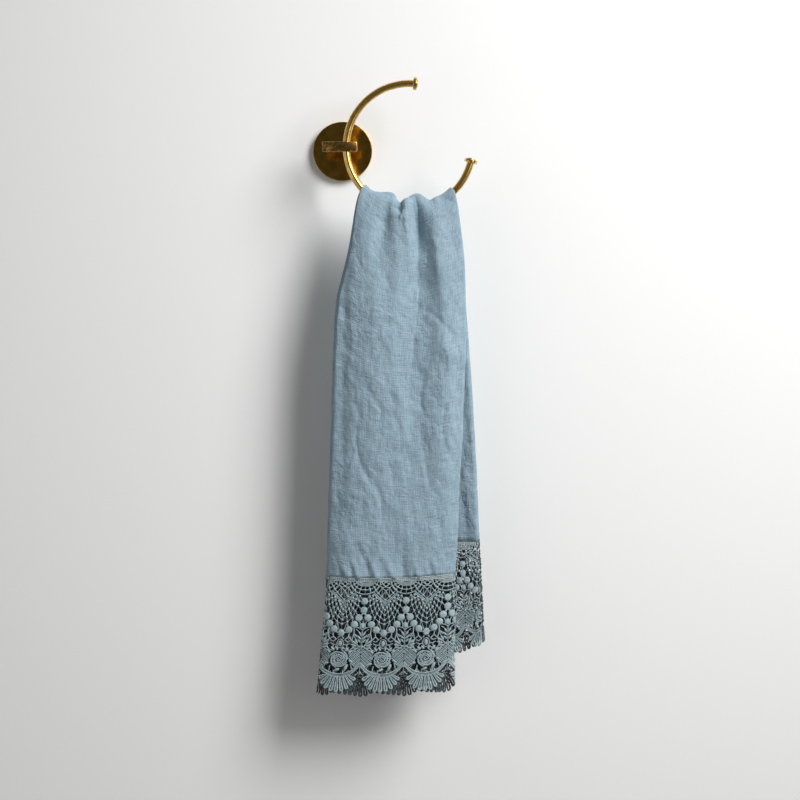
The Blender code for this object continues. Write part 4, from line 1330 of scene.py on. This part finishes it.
class HANDTOWEL_OT_stage(bpy.types.Operator):
    """Set the wall, the floor, the lights and the camera"""

    bl_idname = "hand_towel.stage"
    bl_label = "Stage"

    def execute(self, context):
        settings = context.scene.hand_towel_stage
        self.surfaces(settings)
        self.light(settings)
        self.room(settings)
        self.camera()
        context.scene.view_settings.view_transform = "Standard"
        return {"FINISHED"}

    def surfaces(self, settings):
        """Matt emulsion paint: a faint orange-peel from the roller and no gloss."""
        material, tree, shader = start_material("matt_wall_paint")
        place = add(tree, "ShaderNodeTexCoord").outputs["Object"]
        peel = add(tree, NOISE, {"Vector": place, "Scale": 500, "Detail": 3})
        feed(tree, shader, {
            "Normal": add(tree, BUMP, {"Height": peel, "Strength": 0.1, "Distance": 0.0002}),
            "Base Color": (*settings.wall, 1.0),
            "Roughness": 0.95,
            "Specular IOR Level": 0.2,
        })
        # The wall is seen from its front only, so that the towel can be looked at from behind.
        seen = add(tree, "ShaderNodeLightPath").outputs["Is Camera Ray"]
        back = add(tree, "ShaderNodeNewGeometry").outputs["Backfacing"]
        both = add(tree, MATH, {0: seen, 1: back}, operation="MULTIPLY")
        clear = add(tree, "ShaderNodeBsdfTransparent")
        mixed = add(tree, "ShaderNodeMixShader", {0: both, 1: shader, 2: clear})
        feed(tree, tree.nodes["Material Output"], {"Surface": mixed})
        left, right, front, top = -3000, 4000, -3000, 3000
        wall = [(left, WALL, FLOOR), (right, WALL, FLOOR), (right, WALL, top), (left, WALL, top)]
        floor = [(left, front, FLOOR), (right, front, FLOOR), *wall[1::-1]]
        for name, corners in (("stage_wall", wall), ("stage_floor", floor)):
            mesh = mesh_from(name, corners, [(0, 1, 2, 3)])
            mesh.materials.append(material)
            helper(name, mesh)

    def light(self, settings):
        """A tall soft light from the upper right of the room, and a narrow one under it."""
        for name, power, direction, size in (
            ("key_softbox", settings.key, (1.06, -1.0, 1.02), (0.88, 1.45)),
            ("low_softbox", settings.low, (0.95, -1.0, 0.1), (0.24, 1.1)),
        ):
            direction = Vector(direction).normalized()
            lamp = bpy.data.lights.new(name, "AREA")
            lamp.shape = "ELLIPSE"
            lamp.size, lamp.size_y = size
            lamp.energy = power
            lamp.spread = math.radians(100)  # a honeycomb keeps the light off the floor
            self.turn(helper(name, lamp), Vector(TARGET) + direction * LIGHT_AWAY, direction, "Z")

    def turn(self, thing, place, direction, axis):
        """Put a lamp or the camera in its place, with one of its axes along a direction."""
        thing.location = place
        thing.rotation_mode = "QUATERNION"
        thing.rotation_quaternion = direction.to_track_quat(axis, "Y")

    def room(self, settings):
        """A grey room, darker where the camera stands and with a bright wall to the left."""
        world = bpy.data.worlds.new("studio_room")
        bpy.context.scene.world = world
        world.use_nodes = True
        tree = world.node_tree
        way = add(tree, "ShaderNodeTexCoord")
        level = settings.fill
        for towards, flatter, edge, core, change in (
            ((0.05, -1, 0), 1, 0.80, 0.96, -0.5 * settings.fill),
            ((-0.79, -0.59, -0.16), 1.8, 0.76, 0.90, settings.left),
        ):
            low = add(tree, VECTOR_MATH, {0: way, 1: (1, 1, flatter)}, operation="MULTIPLY")
            even = add(tree, VECTOR_MATH, {0: low}, operation="NORMALIZE")
            near = add(tree, VECTOR_MATH, {0: even, 1: towards}, operation="DOT_PRODUCT")
            share = {"Value": near.outputs["Value"], "From Min": edge, "From Max": core}
            share = add(tree, RANGE, share, interpolation_type="SMOOTHSTEP")
            level = add(tree, MATH, {0: share, 1: change, 2: level}, operation="MULTIPLY_ADD")
        feed(tree, tree.nodes["Background"], {"Strength": level, "Color": (1, 1, 1, 1)})

    def camera(self):
        place = Vector(CAMERA)
        look = Vector(CAMERA_TARGET) - place
        data = bpy.data.cameras.new("camera")
        data.sensor_width = SENSOR
        data.lens = SENSOR / 2 / (HALF_FRAME / look.length)
        data.clip_start, data.clip_end = 0.05, 50.0
        camera = helper("camera", data)
        self.turn(camera, place, look, "-Z")
        bpy.context.scene.camera = camera


class HANDTOWEL_PT_panel(bpy.types.Panel):
    """The towel's pieces, in the order in which they are made"""

    bl_idname = "HANDTOWEL_PT_panel"
    bl_label = "Hand towel"
    bl_space_type = "VIEW_3D"
    bl_region_type = "UI"
    bl_category = "Hand towel"

    def draw(self, context):
        for group, kind in SETTINGS:
            box = self.layout.box()
            for name in kind.__annotations__:
                box.prop(getattr(context.scene, group), name)
        for operator in OPERATORS:
            self.layout.operator(operator.bl_idname)


OPERATORS = (
    HANDTOWEL_OT_holder,
    HANDTOWEL_OT_ring,
    HANDTOWEL_OT_linen,
    HANDTOWEL_OT_lace,
    HANDTOWEL_OT_stage,
)
SETTINGS = (
    ("hand_towel", TowelSettings),
    ("hand_towel_holder", HolderSettings),
    ("hand_towel_stage", StageSettings),
)


def register():
    for name, group in SETTINGS:
        bpy.utils.register_class(group)
        setattr(bpy.types.Scene, name, bpy.props.PointerProperty(type=group))
    for kind in (*OPERATORS, HANDTOWEL_PT_panel):
        bpy.utils.register_class(kind)


def unregister():
    for kind in reversed((*OPERATORS, HANDTOWEL_PT_panel)):
        bpy.utils.unregister_class(kind)
    for name, group in reversed(SETTINGS):
        delattr(bpy.types.Scene, name)
        bpy.utils.unregister_class(group)


def main():
    register()
    bpy.ops.hand_towel.holder()
    bpy.ops.hand_towel.ring()
    bpy.ops.hand_towel.linen()
    bpy.ops.hand_towel.lace()
    bpy.ops.hand_towel.stage()


if __name__ == "__main__":
    main()
